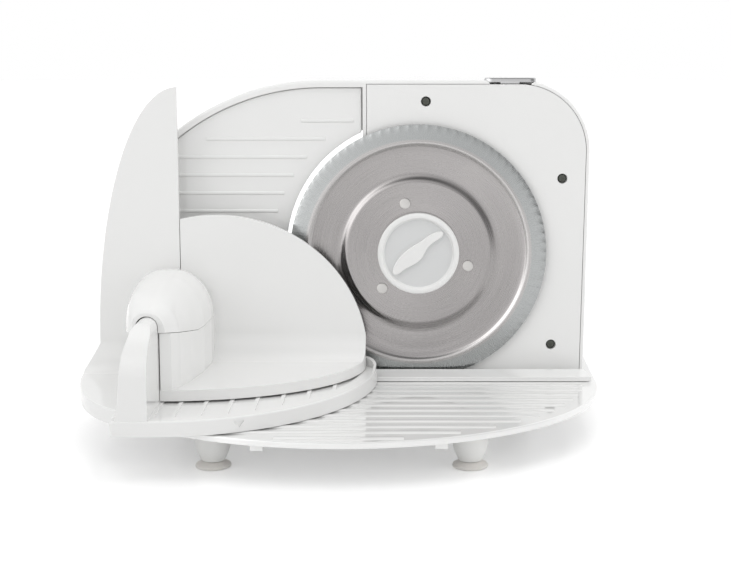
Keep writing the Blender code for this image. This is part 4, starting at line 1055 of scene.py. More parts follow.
def make_blade(blade_steel, rivet_steel):
    """Dished blade whose edge is ground in scallops, one to a tooth, and its three rivets."""
    around = blade_teeth * tooth_steps
    profile = blade_profile()
    front = [[(radius, height)] * around for radius, height in profile]
    back = [[(radius, height + blade_thick)] * around for radius, height in reversed(profile)]
    # A wave says how deep the scallop is at each step: nothing at a tooth's point, one in its middle
    tooth = [math.sin(math.pi * i / tooth_steps) ** facet_round for i in range(tooth_steps)]
    waves = tooth * blade_teeth
    tips = [blade_radius - tooth_deep * wave for wave in waves]
    edge = [[(tip, edge_thick) for tip in tips], [(tip, 0) for tip in tips]]
    for share in (0.5, 1.0):
        hollow = facet_hollow * math.sin(math.pi * share)
        ring = []
        for tip, wave in zip(tips, waves):
            line = blade_radius - facet_wide - facet_wave * wave
            depth = facet_deep + bevel_slope * facet_wave * wave
            ring.append((tip + (line - tip) * share, hollow * wave - depth * share))
        edge.append(ring)
    rings = []
    for flat in back + edge + front:
        ring = []
        for i, (radius, height) in enumerate(flat):
            angle = 2 * math.pi * i / around
            ring.append((blade_x + radius * math.cos(angle), height, blade_z + radius * math.sin(angle)))
        rings.append(ring)
    blade = shape("blade", loft_of(rings, looped=True))
    places = arc(hub, rivet_circle, rivet_first, rivet_first + 360, rivet_count)[:-1]
    ends = -disc_rise - over, over
    cut(blade, *rods_of(rivet_shank + gap, "y", ends, rod_sides, places))
    dress(blade, "blade_set", blade_steel, "blade", angle=blade_sharp)
    under = -disc_rise - gap
    dome = [(0, under - rivet_head), (rivet_radius - rivet_head, under - rivet_head)]
    dome += [(rivet_radius - rivet_shoulder, under - rivet_shoulder_high), (rivet_radius, under)]
    end = under + rivet_length
    profile = dome + [(rivet_shank, under), (rivet_shank, end), (0, end)]
    for i, place in enumerate(places, 1):
        rivet = shape(f"blade_rivet_{i}", turned_of(profile, "y", head_sides, place))
        dress(rivet, "blade_set", rivet_steel, f"blade_rivet_{i}")


def make_knob(white, shaded_disc):
    """Quarter-turn knob: a ring round a sunk disc with a leaf-shaped grip, and a bayonet socket behind."""
    ring = knob_radius - knob_ring
    profile = [
        (0, -knob_disc),
        (ring, -knob_disc),
        (ring + knob_slope, -knob_front),
        (knob_radius - knob_round, -knob_front),
        (knob_radius, knob_round - knob_front),
        (knob_radius, -knob_back),
        (stem_radius, -knob_back),
        (stem_radius, stem_end),
        (stem_bore, stem_end),
        (stem_bore, groove_rear),
        (stem_groove, groove_rear),
        (stem_groove, groove_front),
        (stem_bore, groove_front),
        (stem_bore, -axle_front - gap),
        (0, -axle_front - gap),
    ]
    profile = eased(profile, soft * 2, 4, closed=False, straight=knob_straight)
    knob = shape("locking_knob", turned_of(profile, "y", knob_sides, hub))
    line = curve_through((*leaf_points, leaf_points[0]), leaf_steps)[:-1]
    leaf = [(blade_x + x, blade_z + z) for x, z in line]
    join(knob, prism_of(leaf, "y", -grip_front, -knob_disc + knob_round, low_soft=grip_soft))
    near, far = pin_radius + gap, stem_groove
    slot = box_loop(blade_x - near, blade_x + near, blade_z - far, blade_z + far)
    cut(knob, prism_of(slot, "y", groove_rear - gap, stem_end + over))
    dress(knob, "knob", white, "locking_knob", angle=knob_sharp)
    # The sunk disc's front faces take the greyer material: painted shade of the recess.
    knob.data.materials.append(shaded_disc)
    for face in knob.data.polygons:
        level = face.center.y - MACHINE.y
        if abs(level + knob_disc) < gap and face.normal.y < knob_faces_front:
            face.material_index = 1


def button_loop(room, steps):
    """Outline of the button from above, or with room round it that of its slot."""
    middle = (button_front + button_rear) / 2
    half = (button_rear - button_front) / 2 + room
    right, left = (button_right + room - half, middle), (button_left - room + half, middle)
    return slot_loop(right, left, half, -90, steps)


def make_button(chrome):
    """Power button let into the top edge, on a stem that reaches down to the switch."""
    loop = button_loop(0, button_steps)
    button = shape("power_button", prism_of(loop, "z", button_low, button_top, high_soft=button_round))
    wide, deep = button_stem_wide / 2, button_stem_deep / 2
    centre = switch_front + switch_deep / 2
    stem = box_loop(button_middle - wide, button_middle + wide, centre - deep, centre + deep)
    join(button, prism_of(stem, "z", button_stem_low, button_low + button_round))
    dress(button, "button", chrome, "power_button")


def gauge_loop(inset):
    """Outline of the thickness plate: under the hood, beside the block and round the blade."""
    left = hood_left - hood_wall - gauge_under - inset
    right = block_left - gauge_side - inset
    low = plate_top + gauge_low + inset
    radius = hood_radius - hood_wall - gauge_under - inset
    start = math.degrees(math.acos((left - hood_middle) / radius))
    loop = [(-left, low)] + arc((-hood_middle, hood_z), radius, 180 - start, 90, gauge_steps)
    loop += [(right, hood_z + radius)]
    bite = blade_radius + gauge_blade + inset
    return loop + hub_arc(bite, right, gauge_bite_steps) + [(right, low)]


def make_gauge(white):
    """Thickness plate with a lip behind, raised ribs in front, two guide sleeves and the spindle's nut."""
    back = gauge_front + gauge_skin
    rear = gauge_front + gauge_deep
    plate = shape("gauge_plate", prism_of(gauge_loop(0), "y", gauge_front, rear, low_soft=soft, soft_steps=3))
    cut(plate, prism_of(gauge_loop(gauge_lip), "y", back, rear + over))
    ribs = []
    for i in range(gauge_rib_count):
        z = gauge_rib_first - i * gauge_rib_pitch
        reach = blade_radius + gauge_rib_right
        rise = z - blade_z
        right = blade_x - math.sqrt(max(reach * reach - rise * rise, 0))
        share = max(z - hood_z, 0) / gauge_rib_rise
        ellipse = -gauge_rib_reach * math.sqrt(1 - share * share)
        left = max(ellipse, gauge_rib_left + hood_wall - hood_left)
        half, foot = gauge_rib_wide / 2, gauge_front + gauge_rib_high
        section = arc((gauge_front, z), (gauge_rib_high, half), 90, 270, gauge_rib_steps)
        ribs.append(prism_of(section + [(foot, z - half), (foot, z + half)], "x", left, right))
    raised = keep(shape("ribs", *ribs), prism_of(gauge_loop(gauge_lip), "y", gauge_front - over, back))
    join(plate, raised)
    ends = gauge_front + gauge_skin / 2, sleeve_rear
    sleeves = rods_of(sleeve_radius, "y", ends, head_sides, rod_places)
    join(plate, *sleeves, rod_of(nut_radius, "y", *ends, head_sides, dial_place))
    ends = back, sleeve_rear + over
    bores = rods_of(rod_radius + rod_play, "y", ends, rod_sides, rod_places)
    cut(plate, *bores, rod_of(spindle_radius + rod_play, "y", *ends, rod_sides, dial_place))
    ease_edges(plate, soft / 2)
    dress(plate, "thickness_plate", white, "gauge_plate")


def make_dial(satin):
    """Thickness dial behind the hood: a lobed grip on a flat skirt, turned round the spindle."""
    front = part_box("thickness_dial")[0].y - MACHINE.y
    end = front + dial_thick
    bore_end = end - dial_skirt_thick
    lip = front + dial_skirt_thick
    profile = eased([(0, front), (dial_skirt, front), (dial_skirt, lip), (0, lip)], soft * 2, 4, closed=False)
    dial = shape("thickness_dial", turned_of(profile, "y", dial_sides, dial_place))
    loop = []
    around = dial_lobes * dial_lobe_steps
    for i in range(around):
        angle = 2 * math.pi * i / around
        radius = dial_radius - dial_lobe_deep * (1 - math.cos(dial_lobes * angle)) / 2
        loop.append((dial_x + radius * math.cos(angle), dial_z + radius * math.sin(angle)))
    join(dial, prism_of(loop, "y", (front + lip) / 2, end, high_soft=button_round))
    cut(dial, rod_of(spindle_radius + gap, "y", front - over, bore_end, head_sides, dial_place))
    dress(dial, "dial", satin, "thickness_dial")


def tray_loop(inset, rear):
    """Outline of the carriage tray from above: quarter ellipse, wall front, and hand tray at the left."""
    half, deep = tray_half - inset, tray_deep - inset
    start_y = rear + tray_end_y
    share = (start_y - tray_y) / deep
    end_x = tray_x + half * math.sqrt(1 - share * share)
    loop = arc((end_x - tray_end_x, -start_y), (tray_end_x, tray_end_y), 90, 0, tray_end_steps)
    angle = math.degrees(math.asin(share))
    loop += arc((tray_x, -tray_y), (half, deep), -angle, -90, tray_steps)[1:]
    left_foot = wall_right - wall_thick - wall_flare - step + inset
    radii = (hand_half - inset, hand_deep - inset)
    swing = math.degrees(math.acos((hand_x - left_foot) / radii[0]))
    loop += [(left_foot + tray_soft, -tray_y - deep), (left_foot, tray_soft - tray_y - deep)]
    start = math.degrees(math.asin(max(rear - hand_y, 0) / radii[1]))
    loop += arc((hand_x, -hand_y), radii, -180 + swing, -180 + start, hand_steps)
    if rear < hand_y:
        loop += [(hand_x - hand_half + inset, -rear)]
    return loop


def pocket_loops():
    """The pockets between the tray's ribs, each ending on the rim's inner curve."""
    loops = []
    first = tray_x + pocket_first
    half, deep = tray_half - rim_wide, tray_deep - rim_wide
    for i in range(pocket_count):
        left = max(first + (i - 1) * pocket_pitch, wall_right) + pocket_rib
        right = first + i * pocket_pitch
        ends = []
        for k in range(pocket_steps + 1):
            x = left + (right - left) * k / pocket_steps
            share = (x - tray_x) / half
            if abs(share) < 1:
                ends.append((x, -tray_y - deep * math.sqrt(1 - share * share)))
        if len(ends) > 1:
            loops.append([(ends[0][0], -pocket_back)] + ends + [(ends[-1][0], -pocket_back)])
    return loops


def make_carriage(white):
    """Carriage in one moulding: ribbed tray, wall for the pusher, scooped hand tray and sail guard."""
    outer = tray_loop(0, tray_rear)
    tray = shape("carriage", prism_of(outer, "z", tray_low, tray_top, high_soft=tray_soft))
    inner = tray_loop(tray_wall, rail_front + hook_room + tray_wall)
    under = tray_top - pocket_deep
    cut(tray, prism_of(inner, "z", tray_low - over, under - pocket_floor))
    cut(tray, *[prism_of(eased(loop, soft * 2), "z", under, tray_top + over) for loop in pocket_loops()])

    left = wall_right - wall_thick
    straight = wall_top - wall_round
    foot = tray_low + step
    profile = [(wall_right, foot)]
    profile += arc((wall_right - wall_round, straight), wall_round, 0, 180, wall_steps)
    for height, flare in reversed(curve_through(wall_flare_shares, flare_steps)):
        profile.append((left - wall_flare * flare, foot + (straight - foot) * height))
    wall = shape("wall", prism_of(profile, "y", -wall_front - over, -sail_back - step))
    side = [(-sail_back + over, tray_low - over), (-sail_back + over, wall_top + over)]
    crown = -wall_front + wall_crown
    side += [(crown, wall_top + over)]
    side += arc((crown, wall_top - wall_fall), (wall_crown, wall_fall), 90, 180, crown_steps)
    side += [(-wall_front, tray_low - over)]
    keep(wall, prism_of(side, "x", span_left, wall_right + over))
    ease_edges(wall, rim_soft, rim_steps, rim_angle)
    join(tray, wall)
    notch = box_loop(span_left - over, tray_x + tray_half + over, -rail_front - hook_room, over)
    cut(tray, prism_of(notch, "z", tray_low - over, plate_top + rail_high_side + hook_room))

    root = tray_top - tray_soft - rib_root
    front = -sail_back - sail_thick
    top = plate_top + sail_base + sail_rise
    bend = [(-sail_back, root), (-sail_back, top + over), (front, top + over)]
    bend += arc((front - scoop, tray_top + scoop), scoop, 0, -90, scoop_steps)
    bend += [(front - scoop, root)]
    guard = shape("guard", prism_of(bend, "x", span_left - over, sail_right))
    face = [(sail_right + over, root - over), (sail_right + over, top)]
    base = plate_top + sail_base
    face += arc((sail_right, base), (sail_half, sail_rise), 90, 180, sail_steps)
    foot = sail_right - sail_half
    low_edge = [(0.0, 1.0), *[(out, up) for up, out in scoop_shares], (1.0, 0.0)]
    for out, up in curve_through(low_edge, scoop_edge_steps)[1:]:
        face.append((foot + (scoop_left - foot) * out, tray_top + (base - tray_top) * up))
    face += [(scoop_left, root - over)]
    keep(guard, prism_of(face, "y", front - scoop - over, 0))
    plan = tray_loop(step, tray_rear + step)
    keep(guard, prism_of(plan, "z", tray_low, top + over))
    ease_edges(guard, rim_soft, rim_steps, rim_angle)
    join(tray, guard)

    high = tray_top + ear_high
    ear = shape("ear", prism_of(plan, "z", root, high))
    room = tray_loop(step + ear_thick, tray_rear + step + ear_thick)
    cut(ear, prism_of(room, "z", tray_low, high + over))
    ramp = [
        (-tray_rear + over, tray_low),
        (-tray_rear + over, high + over),
        (-tray_rear, high),
        (-tray_rear - ear_reach / 2, tray_top + ear_high / 2),
        (-tray_rear - ear_reach, tray_top - tray_soft),
        (-tray_rear - ear_reach, tray_low),
    ]
    keep(ear, prism_of(ramp, "x", ear_left, tray_x + tray_half + over))
    ease_edges(ear, soft, 3, rim_angle)
    join(tray, ear)

    mark = shape("mark", prism_of(tray_loop(-over, tray_rear), "z", tray_low, tray_top))
    cut(mark, prism_of(tray_loop(mark_deep, tray_rear), "z", tray_low - over, tray_top + over))
    middle = (tray_low + tray_top + mark_high) / 2
    arrow = [(mark_x - mark_half, middle), (mark_x + mark_half, middle), (mark_x, middle - mark_high)]
    keep(mark, prism_of(arrow, "y", -wall_front, -tray_y - tray_deep / 2))
    cut(tray, mark)
    ease_edges(tray)
    dress(tray, "carriage", white, "carriage")


def seam_height(depth):
    """Height of the seam between grip body and cap: level behind, rising towards the front."""
    share = max(depth - seam_bend, 0) / (pusher_front - seam_bend)
    return plate_top + seam_rear + (seam_front - seam_rear) * share


def grip_side(depth):
    """Right side of the grip body at a depth in front of the blade."""
    nose = wall_right + gap + grip_nose
    along = min(max((pusher_front - depth) / (pusher_front - shield_back - shield_thick), 0), 1)
    for (low, low_share), (high, high_share) in zip(grip_shares, grip_shares[1:]):
        if along <= high:
            share = low_share + (high_share - low_share) * (along - low) / (high - low)
            return nose + (grip_right - nose) * share
    return grip_right


def pusher_plan(inset, back=shield_back):
    """Outline of the pusher's floor from above: a quarter ellipse from the wall, straight behind."""
    left = wall_right + gap + inset
    right, front = pusher_right - inset, pusher_front - inset
    line = max(pusher_line, back)
    deep = front - pusher_line
    end = -math.degrees(math.asin((line - pusher_line) / deep))
    radii = (right - wall_right - gap, deep)
    loop = [(left, -back)] + arc((wall_right + gap, -pusher_line), radii, -90, end, pusher_plan_steps)
    loop[1] = (left, loop[1][1])
    if back < pusher_line:
        loop += [(right, -back)]
    return loop


def make_pusher(white):
    """Pusher: curved shield, floor with a lip, grip body beside the wall, and spikes on the food side."""
    left = wall_right + gap
    low, floor = plate_top + pusher_low, plate_top + pusher_floor_top
    front = -shield_back - shield_thick
    top = plate_top + shield_z + shield_rise
    bend = [(-shield_back, low), (-shield_back, top + over), (front, top + over)]
    centre = (front - pusher_fillet, floor + pusher_fillet)
    bend += arc(centre, pusher_fillet, 0, -90, pusher_fillet_steps)
    bend += [(-pusher_front - over, floor), (-pusher_front - over, low)]
    pusher = shape("pusher", prism_of(bend, "x", left, pusher_right + over))
    keep(pusher, prism_of(pusher_plan(0), "z", low - over, top + over))
    base = plate_top + shield_z
    end = math.degrees(math.acos((left - shield_x) / shield_half))
    face = arc((shield_x, base), (shield_half, shield_rise), 0, end, shield_steps)
    face += [(left - over, face[-1][1]), (left - over, low - over), (shield_x + shield_half, low - over)]
    keep(pusher, prism_of(face, "y", -pusher_front - over, 0))
    ease_edges(pusher, rim_soft, rim_steps, rim_angle)
    inside = pusher_plan(pusher_skirt, shield_back + shield_foot)
    cut(pusher, prism_of(inside, "z", low - over, floor - pusher_floor))

    foot, rear = floor - pusher_floor / 2, front + shield_thick / 2
    depth = pusher_front + front
    edge = [-pusher_front + depth * i / grip_steps for i in range(1, grip_steps + 1)]
    near, nose = left + gap, -pusher_front + gap
    curved = [(grip_side(-y), max(y, nose)) for y in edge]
    plan = [(near, nose), *curved, (grip_right, rear), (near, rear)]
    body = shape("grip_body", prism_of(plan, "z", foot, plate_top + seam_front + over))
    level, ahead = seam_height(0) - gap, pusher_front + over
    side = [(rear + over, foot - over), (rear + over, level), (-seam_bend, level)]
    side += [(-ahead, seam_height(ahead) - gap), (-ahead, foot - over)]
    keep(body, prism_of(side, "x", left - over, grip_right + over))
    ease_edges(body, soft, 3, rim_angle)
    join(pusher, body)

    spikes = []
    columns = int((shield_half * 2 - spike_margin * 2) / spike_pitch_x)
    rows = int(shield_rise / spike_pitch_z)
    for column in range(columns):
        for row in range(rows):
            x = left + spike_margin + column * spike_pitch_x
            z = base + spike_margin / 2 + row * spike_pitch_z
            across = (x - shield_x) / (shield_half - spike_margin)
            up = (z - base) / (shield_rise - spike_margin)
            if across * across + up * up < 1 and x < pusher_right - spike_margin:
                tip = -shield_back + spike_long
                profile = [(0, -shield_back - gap), (spike_wide / 2, -shield_back - gap), (0, tip)]
                spikes.append(turned_of(profile, "y", spike_sides, (x, z)))
    join(pusher, *spikes)
    ease_edges(pusher)
    dress(pusher, "pusher", white, "pusher")


def make_cap(white):
    """Dome cap over the wall and the grip body, drawn through sections from back to front."""
    shares = list(zip(cap_length_shares, cap_left_shares, cap_right_shares, cap_rise_shares))
    rings = []
    for along, left_share, right_share, rise_share in curve_through(shares, cap_steps):
        depth = cap_rear + (cap_front - cap_rear) * along
        seat = seam_height(depth)
        width = grip_right - cap_left
        left, right = cap_left + width * left_share, grip_side(depth) - width * right_share
        rise = plate_top + seam_front + (cap_crown - seam_front) * rise_share - seat
        ring = []
        for i in range(cap_round_steps + 1):
            angle = math.pi * i / cap_round_steps
            cos, sin = math.cos(angle), math.sin(angle)
            power = cap_right_power if cos > 0 else cap_left_power
            across = math.copysign(abs(cos) ** power, cos)
            x = (left + right) / 2 + (right - left) / 2 * across
            ring.append((x, -depth, seat + rise * abs(sin) ** power))
        rings.append(ring)
    cap = shape("pusher_cap", loft_of(rings))
    right, left = wall_right + gap, wall_right - wall_thick - run - gap
    straight = wall_top - wall_round
    radii = ((right - left) / 2, wall_round + run)
    low = plate_top + seam_rear - over
    loop = [(left - flare_room, low), (right, low)]
    loop += arc(((left + right) / 2, straight), radii, 0, 180, cap_round_steps)
    cut(cap, prism_of(loop, "y", -cap_front - over, over))
    ease_edges(cap, soft, 3, rim_angle)
    dress(cap, "pusher", white, "pusher_cap", angle=cap_sharp)


def linear(code, alpha=1.0):
    """A colour written as sRGB hex, as the linear values that a shader takes."""
    parts = [int(code[i : i + 2], 16) / 255 for i in (1, 3, 5)]
    return (*(p / 12.92 if p <= 0.04045 else ((p + 0.055) / 1.055) ** 2.4 for p in parts), alpha)


def feed(tree, node, inputs):
    """Gives each input a value, or the socket that feeds it; a node stands for its first output in use."""
    for name, value in inputs.items():
        if isinstance(value, bpy.types.Node):
            value = next(socket for socket in value.outputs if socket.enabled)
        if isinstance(value, bpy.types.NodeSocket):
            tree.links.new(value, node.inputs[name])
        else:
            node.inputs[name].default_value = value


def add(tree, kind, inputs, **settings):
    """Adds a node, sets its properties and feeds its inputs."""
    node = tree.nodes.new("ShaderNode" + kind)
    for name, value in settings.items():
        setattr(node, name, value)
    feed(tree, node, inputs)
    return node


def started(name, inputs):
    """A material, its tree, its shader with the plain inputs set, and the object's coordinates in metres."""
    finish = bpy.data.materials.new(name)
    finish.use_nodes = True
    tree = finish.node_tree
    shader = tree.nodes["Principled BSDF"]
    feed(tree, shader, inputs)
    return finish, tree, shader, add(tree, "TexCoord", {}).outputs["Object"]


def patterned(tree, shader, pattern, tints=None, gloss=None, relief=None, span=(0, 1)):
    """Lets one pattern run through the surface: it mixes two tints, swings the roughness, raises the skin."""
    if tints:
        mixed = {"Factor": pattern, "A": linear(tints[0]), "B": linear(tints[1])}
        feed(tree, shader, {"Base Color": add(tree, "Mix", mixed, data_type="RGBA")})
    if gloss:
        swing = {"From Min": span[0], "From Max": span[1], "To Min": gloss[0], "To Max": gloss[1]}
        feed(tree, shader, {"Roughness": add(tree, "MapRange", {"Value": pattern, **swing})})
    if relief:
        raised = {"Height": pattern, "Distance": relief[0], "Strength": relief[1]}
        feed(tree, shader, {"Normal": add(tree, "Bump", raised)})


def moulded_gloss_abs(name, wax, relief):
    """White ABS from a polished mould: deep gloss, a trace of flow; waxed, it mirrors more."""
    coat = {"Coat Weight": wax, "Coat IOR": wax_ior, "Coat Roughness": wax_rough}
    finish, tree, shader, place = started(name, {"IOR": abs_ior, **coat})
    flow = add(tree, "TexNoise", {"Vector": place, "Scale": 1 / mould_flow, "Detail": 2})
    patterned(tree, shader, flow, tints=("#EBEBEA", "#EDEDEC"))
    wipe = add(tree, "TexNoise", {"Vector": place, "Scale": 1 / wipe_mark, "Detail": 4})
    patterned(tree, shader, wipe, gloss=mould_gloss, span=noise_span)
    wave = add(tree, "TexNoise", {"Vector": place, "Scale": 1 / mould_wave, "Detail": 1})
    patterned(tree, shader, wave, relief=relief)
    return finish


def moulded_satin_abs():
    """White ABS from a spark-eroded mould: a fine even grain that scatters the highlight."""
    plain = {"Base Color": linear("#F2F2F0"), "IOR": abs_ior}
    finish, tree, shader, place = started("moulded_satin_abs", plain)
    grain = add(tree, "TexNoise", {"Vector": place, "Scale": 1 / spark_grain, "Detail": 3})
    patterned(tree, shader, grain, gloss=spark_gloss, relief=spark_relief)
    return finish


def painted_shade_disc_abs():
    """White ABS with a fine leather grain, its colour painted greyer than the polished ring round it as
    painted shade of the sunk disc.
    """
    plain = {"Base Color": linear("#D9DADA"), "IOR": abs_ior}
    finish, tree, shader, place = started("painted_shade_disc_abs", plain)
    grain = add(tree, "TexVoronoi", {"Vector": place, "Scale": 1 / disc_grain}, feature="F1")
    patterned(tree, shader, grain, gloss=disc_gloss, relief=disc_relief)
    return finish


def moulded_silicone():
    """Warm grey silicone rubber: soft, a little see-through at the lip, dulled in patches by dust."""
    plain = {
        "IOR": silicone_ior,
        "Subsurface Weight": silicone_share,
        "Subsurface Radius": (silicone_depth, silicone_depth, silicone_depth),
        "Subsurface Scale": 1.0,
    }
    finish, tree, shader, place = started("moulded_silicone", plain)
    dust = add(tree, "TexNoise", {"Vector": place, "Scale": 1 / dust_patch, "Detail": 5})
    patterned(tree, shader, dust, tints=("#E6E3DE", "#EFECE8"), gloss=silicone_gloss)
    return finish


def glass_filled_nylon():
    """Grey nylon with short glass fibres: dull, with fine pale streaks where fibres lie at the skin."""
    finish, tree, shader, place = started("glass_filled_nylon", {"IOR": nylon_ior})
    fibre = add(tree, "TexVoronoi", {"Vector": place, "Scale": 1 / fibre_length}, feature="F1")
    patterned(tree, shader, fibre, tints=("#4A4B4D", "#56575A"), gloss=nylon_gloss)
    return finish


def white_acetal():
    """Turned acetal: waxy white with fine turning marks."""
    plain = {"Base Color": linear("#E4E3DD"), "IOR": acetal_ior}
    finish, tree, shader, place = started("white_acetal", plain)
    marks = add(tree, "TexNoise", {"Vector": place, "Scale": 1 / tool_mark, "Detail": 2})
    patterned(tree, shader, marks, gloss=acetal_gloss)
    return finish


def chromed_abs():
    """Chrome plate on ABS: a smooth grey mirror with the slightest waviness of the plastic below."""
    plain = {"Metallic": 1.0, "Base Color": linear("#C6C6C7")}
    finish, tree, shader, place = started("chromed_abs", plain)
    wave = add(tree, "TexNoise", {"Vector": place, "Scale": 1 / mould_wave, "Detail": 1})
    patterned(tree, shader, wave, gloss=chrome_gloss, relief=chrome_relief)
    return finish


def sintered_bronze():
    """Pressed and sintered bronze: dull brown metal with small open pores that hold oil."""
    plain = {"Metallic": 1.0, "Roughness": bronze_rough}
    finish, tree, shader, place = started("sintered_bronze", plain)
    pores = add(tree, "TexVoronoi", {"Vector": place, "Scale": 1 / bronze_pore}, feature="F1")
    patterned(tree, shader, pores, tints=("#5E4426", "#9C7A4A"))
    return finish


def turned_steel(name, colour, gloss):
    """Turned or drawn steel: bright, with tool marks drawn coarser than they are, so that they show."""
    finish, tree, shader, place = started(name, {"Metallic": 1.0, "Base Color": linear(colour)})
    marks = add(tree, "TexNoise", {"Vector": place, "Scale": 1 / tool_mark, "Detail": 2})
    patterned(tree, shader, marks, gloss=gloss, relief=tool_relief)
    return finish


def polar(tree, place):
    """Nodes for the distance from the blade's axis and for the angle round it."""
    axis = (blade_x + MACHINE.x, 0.0, blade_z + MACHINE.z)
    moved = add(tree, "VectorMath", {0: place, 1: axis}, operation="SUBTRACT")
    parts = add(tree, "SeparateXYZ", {"Vector": moved}).outputs
    flat = add(tree, "CombineXYZ", {"X": parts["X"], "Y": 0.0, "Z": parts["Z"]})
    radius = add(tree, "VectorMath", {0: flat}, operation="LENGTH")
    return radius, add(tree, "Math", {0: parts["Z"], 1: parts["X"]}, operation="ARCTAN2")


def polished_blade_steel():
    """Hardened stainless steel, turned and polished in circles; its bevel is ground across in fine lines, and
    a painted highlight lightens the crest.
    """
    plain = {"Metallic": 1.0, "Anisotropic": polish_drawn}
    finish, tree, shader, place = started("polished_blade_steel", plain)
    radius, angle = polar(tree, place)

    def lines_along(u, u_scale, v, v_scale, detail):
        """Noise whose grain is as fine across u, and as long along v, as the two scales say."""
        across = add(tree, "Math", {0: u, 1: u_scale}, operation="MULTIPLY")
        along = add(tree, "Math", {0: v, 1: v_scale}, operation="MULTIPLY")
        way = add(tree, "CombineXYZ", {"X": across, "Y": along, "Z": 0.0})
        return add(tree, "TexNoise", {"Vector": way, "Scale": 1.0, "Detail": detail})

    polish = lines_along(radius, 1 / polish_line, angle, polish_arcs, 3)
    grind = lines_along(angle, grind_lines, radius, 1 / grind_run, 2)
    start = blade_radius - bevel_wide
    on_bevel = add(tree, "MapRange", {"Value": radius, "From Min": start - soft, "From Max": start + soft})
    rise = {"From Min": crest_highlight_radius - soft, "From Max": crest_highlight_radius + soft, "To Max": crest_highlight_share}
    on_crest_highlight = add(tree, "MapRange", {"Value": radius, **rise})
    lines = add(tree, "Mix", {"Factor": on_bevel, "A": polish, "B": grind}, data_type="FLOAT")
    cloud = add(tree, "TexNoise", {"Vector": place, "Scale": 1 / polish_cloud, "Detail": 2})
    # The steel's colour wanders in clouds and is paler on the ground bevel; the paler ring on the crest is a
    # painted highlight.
    colour = linear("#989595")
    for factor, layer in ((cloud, "#A5A2A1"), (on_crest_highlight, "#C6C4C3"), (on_bevel, "#ACAEAE")):
        colour = add(tree, "Mix", {"Factor": factor, "A": colour, "B": linear(layer)}, data_type="RGBA")
    round_axis = add(tree, "Tangent", {}, direction_type="RADIAL", axis="Y")
    feed(tree, shader, {"Base Color": colour, "Tangent": round_axis})
    patterned(tree, shader, lines, gloss=polish_gloss, relief=grind_relief, span=noise_span)
    return finish


def lookers(tree):
    """Two sockets that say who looks: the camera, and mirrors or glass."""
    path = add(tree, "LightPath", {}).outputs
    rays = {0: path["Is Glossy Ray"], 1: path["Is Transmission Ray"]}
    return path["Is Camera Ray"], add(tree, "Math", rays, operation="MAXIMUM")


def make_floor():
    """White floor that keeps the shadow, and glows for the camera and for mirrors, more so far away."""
    circle = arc((0, 0), floor_radius, 0, 360 - 360 / floor_sides, floor_sides - 1)
    floor = shape("studio_floor", prism_of(circle, "z", -floor_thick, -floor_gap))
    plain = {"Base Color": linear("#F4F4F4"), "Roughness": floor_rough, "Emission Color": linear("#FFFFFF")}
    finish, tree, shader, place = started("white_studio_paper", plain)
    camera, mirrors = lookers(tree)
    seen = add(tree, "Math", {0: camera, 1: mirrors}, operation="MAXIMUM")
    away = add(tree, "VectorMath", {0: place}, operation="LENGTH")
    reach = {"From Min": floor_near, "From Max": floor_far, "To Min": floor_glow, "To Max": floor_far_glow}
    spread = add(tree, "MapRange", {"Value": away, **reach})
    glow = add(tree, "Math", {0: seen, 1: spread}, operation="MULTIPLY")
    feed(tree, shader, {"Emission Strength": glow})
    floor.data.materials.append(finish)


def make_world():
    """White room light; the camera sees plain white, and mirrors see the studio's pale and dark sides."""
    world = bpy.data.worlds.new("studio")
    bpy.context.scene.world = world
    world.use_nodes = True
    tree = world.node_tree
    camera, mirrors = lookers(tree)
    level = add(tree, "MapRange", {"Value": camera, "To Min": room_level, "To Max": 1.0})
    towards = add(tree, "TexCoord", {}).outputs["Generated"]
    parts = add(tree, "SeparateXYZ", {"Vector": towards}).outputs
    studio = 1.0
    for axis, start, end, first, last in mirror_fades:
        fade = {"From Min": start, "From Max": end, "To Min": first, "To Max": last}
        share = add(tree, "MapRange", {"Value": parts[axis], **fade})
        studio = add(tree, "Math", {0: studio, 1: share}, operation="MULTIPLY")
    behind = {"From Min": mirror_turn[0], "From Max": mirror_turn[1], "To Min": studio, "To Max": 1.0}
    sweep = add(tree, "MapRange", {"Value": parts["Y"], **behind})
    both = add(tree, "Mix", {"Factor": mirrors, "A": level, "B": sweep}, data_type="FLOAT")
    feed(tree, tree.nodes["Background"], {"Color": linear("#FFFFFF"), "Strength": both})


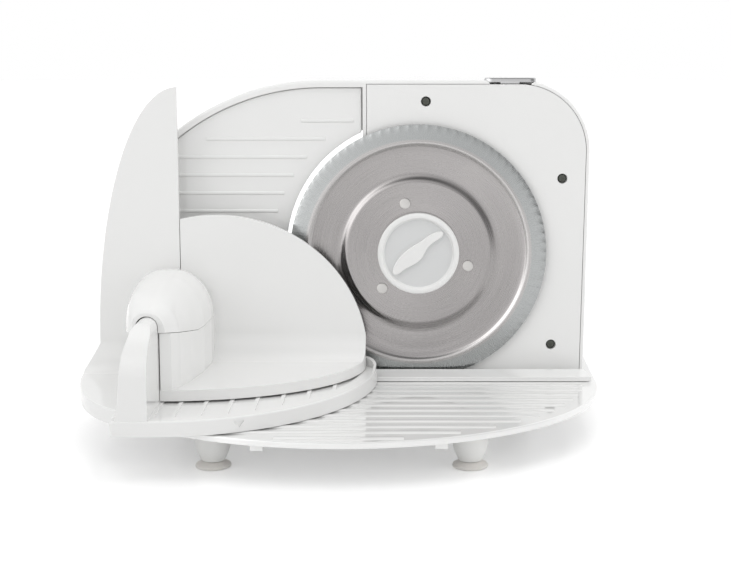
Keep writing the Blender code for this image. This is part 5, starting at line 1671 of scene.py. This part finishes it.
def make_lamp(name, place, aim, wide, high, power, mirrored):
    """A softbox that points at aim, and that mirrors see only if asked."""
    data = bpy.data.lights.new(name, "AREA")
    data.shape = "RECTANGLE"
    data.size, data.size_y = wide, high
    data.energy = power
    lamp = new_object(name, data)
    lamp.location = place
    lamp.rotation_euler = (Vector(aim) - Vector(place)).to_track_quat("-Z", "Y").to_euler()
    lamp.visible_glossy = mirrored


def make_camera():
    """A long lens at the operator's side, a little above the machine."""
    data = bpy.data.cameras.new("camera")
    data.lens = lens_pixels / photo_wide * data.sensor_width
    data.shift_x = camera_shift_x
    data.shift_y = camera_shift_y
    camera = new_object("camera", data)
    camera.location = camera_place
    camera.rotation_euler = (math.radians(90 - camera_pitch), 0, 0)
    bpy.context.scene.camera = camera


def main():
    white = moulded_gloss_abs("moulded_gloss_abs", 0.0, mould_relief)
    waxed = moulded_gloss_abs("waxed_gloss_abs", 1.0, waxed_relief)
    satin, nylon = moulded_satin_abs(), glass_filled_nylon()
    bright = turned_steel("turned_stainless_steel", "#C9C7C4", drawn_gloss)
    # Screw steel is coloured dark grey as painted shade of the screws' shallow recesses.
    dark_steel = turned_steel("shade_darkened_steel_screw", "#5A5C57", dark_screw_gloss)
    can_steel = turned_steel("zinc_plated_motor_can", "#B9BCBE", zinc_gloss)

    make_base(waxed)
    make_rail(waxed)
    make_feet(satin, moulded_silicone())
    make_housing(white)
    make_panel(white, dark_steel)
    make_blade(polished_blade_steel(), turned_steel("headed_steel_rivet", "#C5C3C1", rivet_gloss))
    make_knob(white, painted_shade_disc_abs())
    make_button(chromed_abs())
    make_gauge(white)
    make_dial(satin)
    make_carriage(white)
    make_pusher(white)
    make_cap(white)

    kept = (
        (nylon, "gear_frame", "motor_end_cap", "motor_fan", "blade_carrier_wheel"),
        (nylon, "micro_switch", "cord_grommet"),
        (bright, "rotor_shaft", "blade_axle", "bayonet_pin", "axle_clip", "dial_spindle"),
        (bright, "guide_rod_1", "guide_rod_2"),
        (dark_steel, "base_screw_1", "base_screw_2", "base_screw_3", "base_screw_4"),
        (can_steel, "motor_can"),
        (sintered_bronze(), "axle_bush"),
        (white_acetal(), "glide_pad_1", "glide_pad_2", "glide_pad_3"),
    )
    for finish, *names in kept:
        for name in names:
            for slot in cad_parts[name].material_slots:
                slot.material = finish

    make_floor()
    make_world()
    for name, values in softboxes.items():
        make_lamp(name, *values)
    make_camera()
    bpy.context.scene.view_settings.view_transform = "Standard"


main()
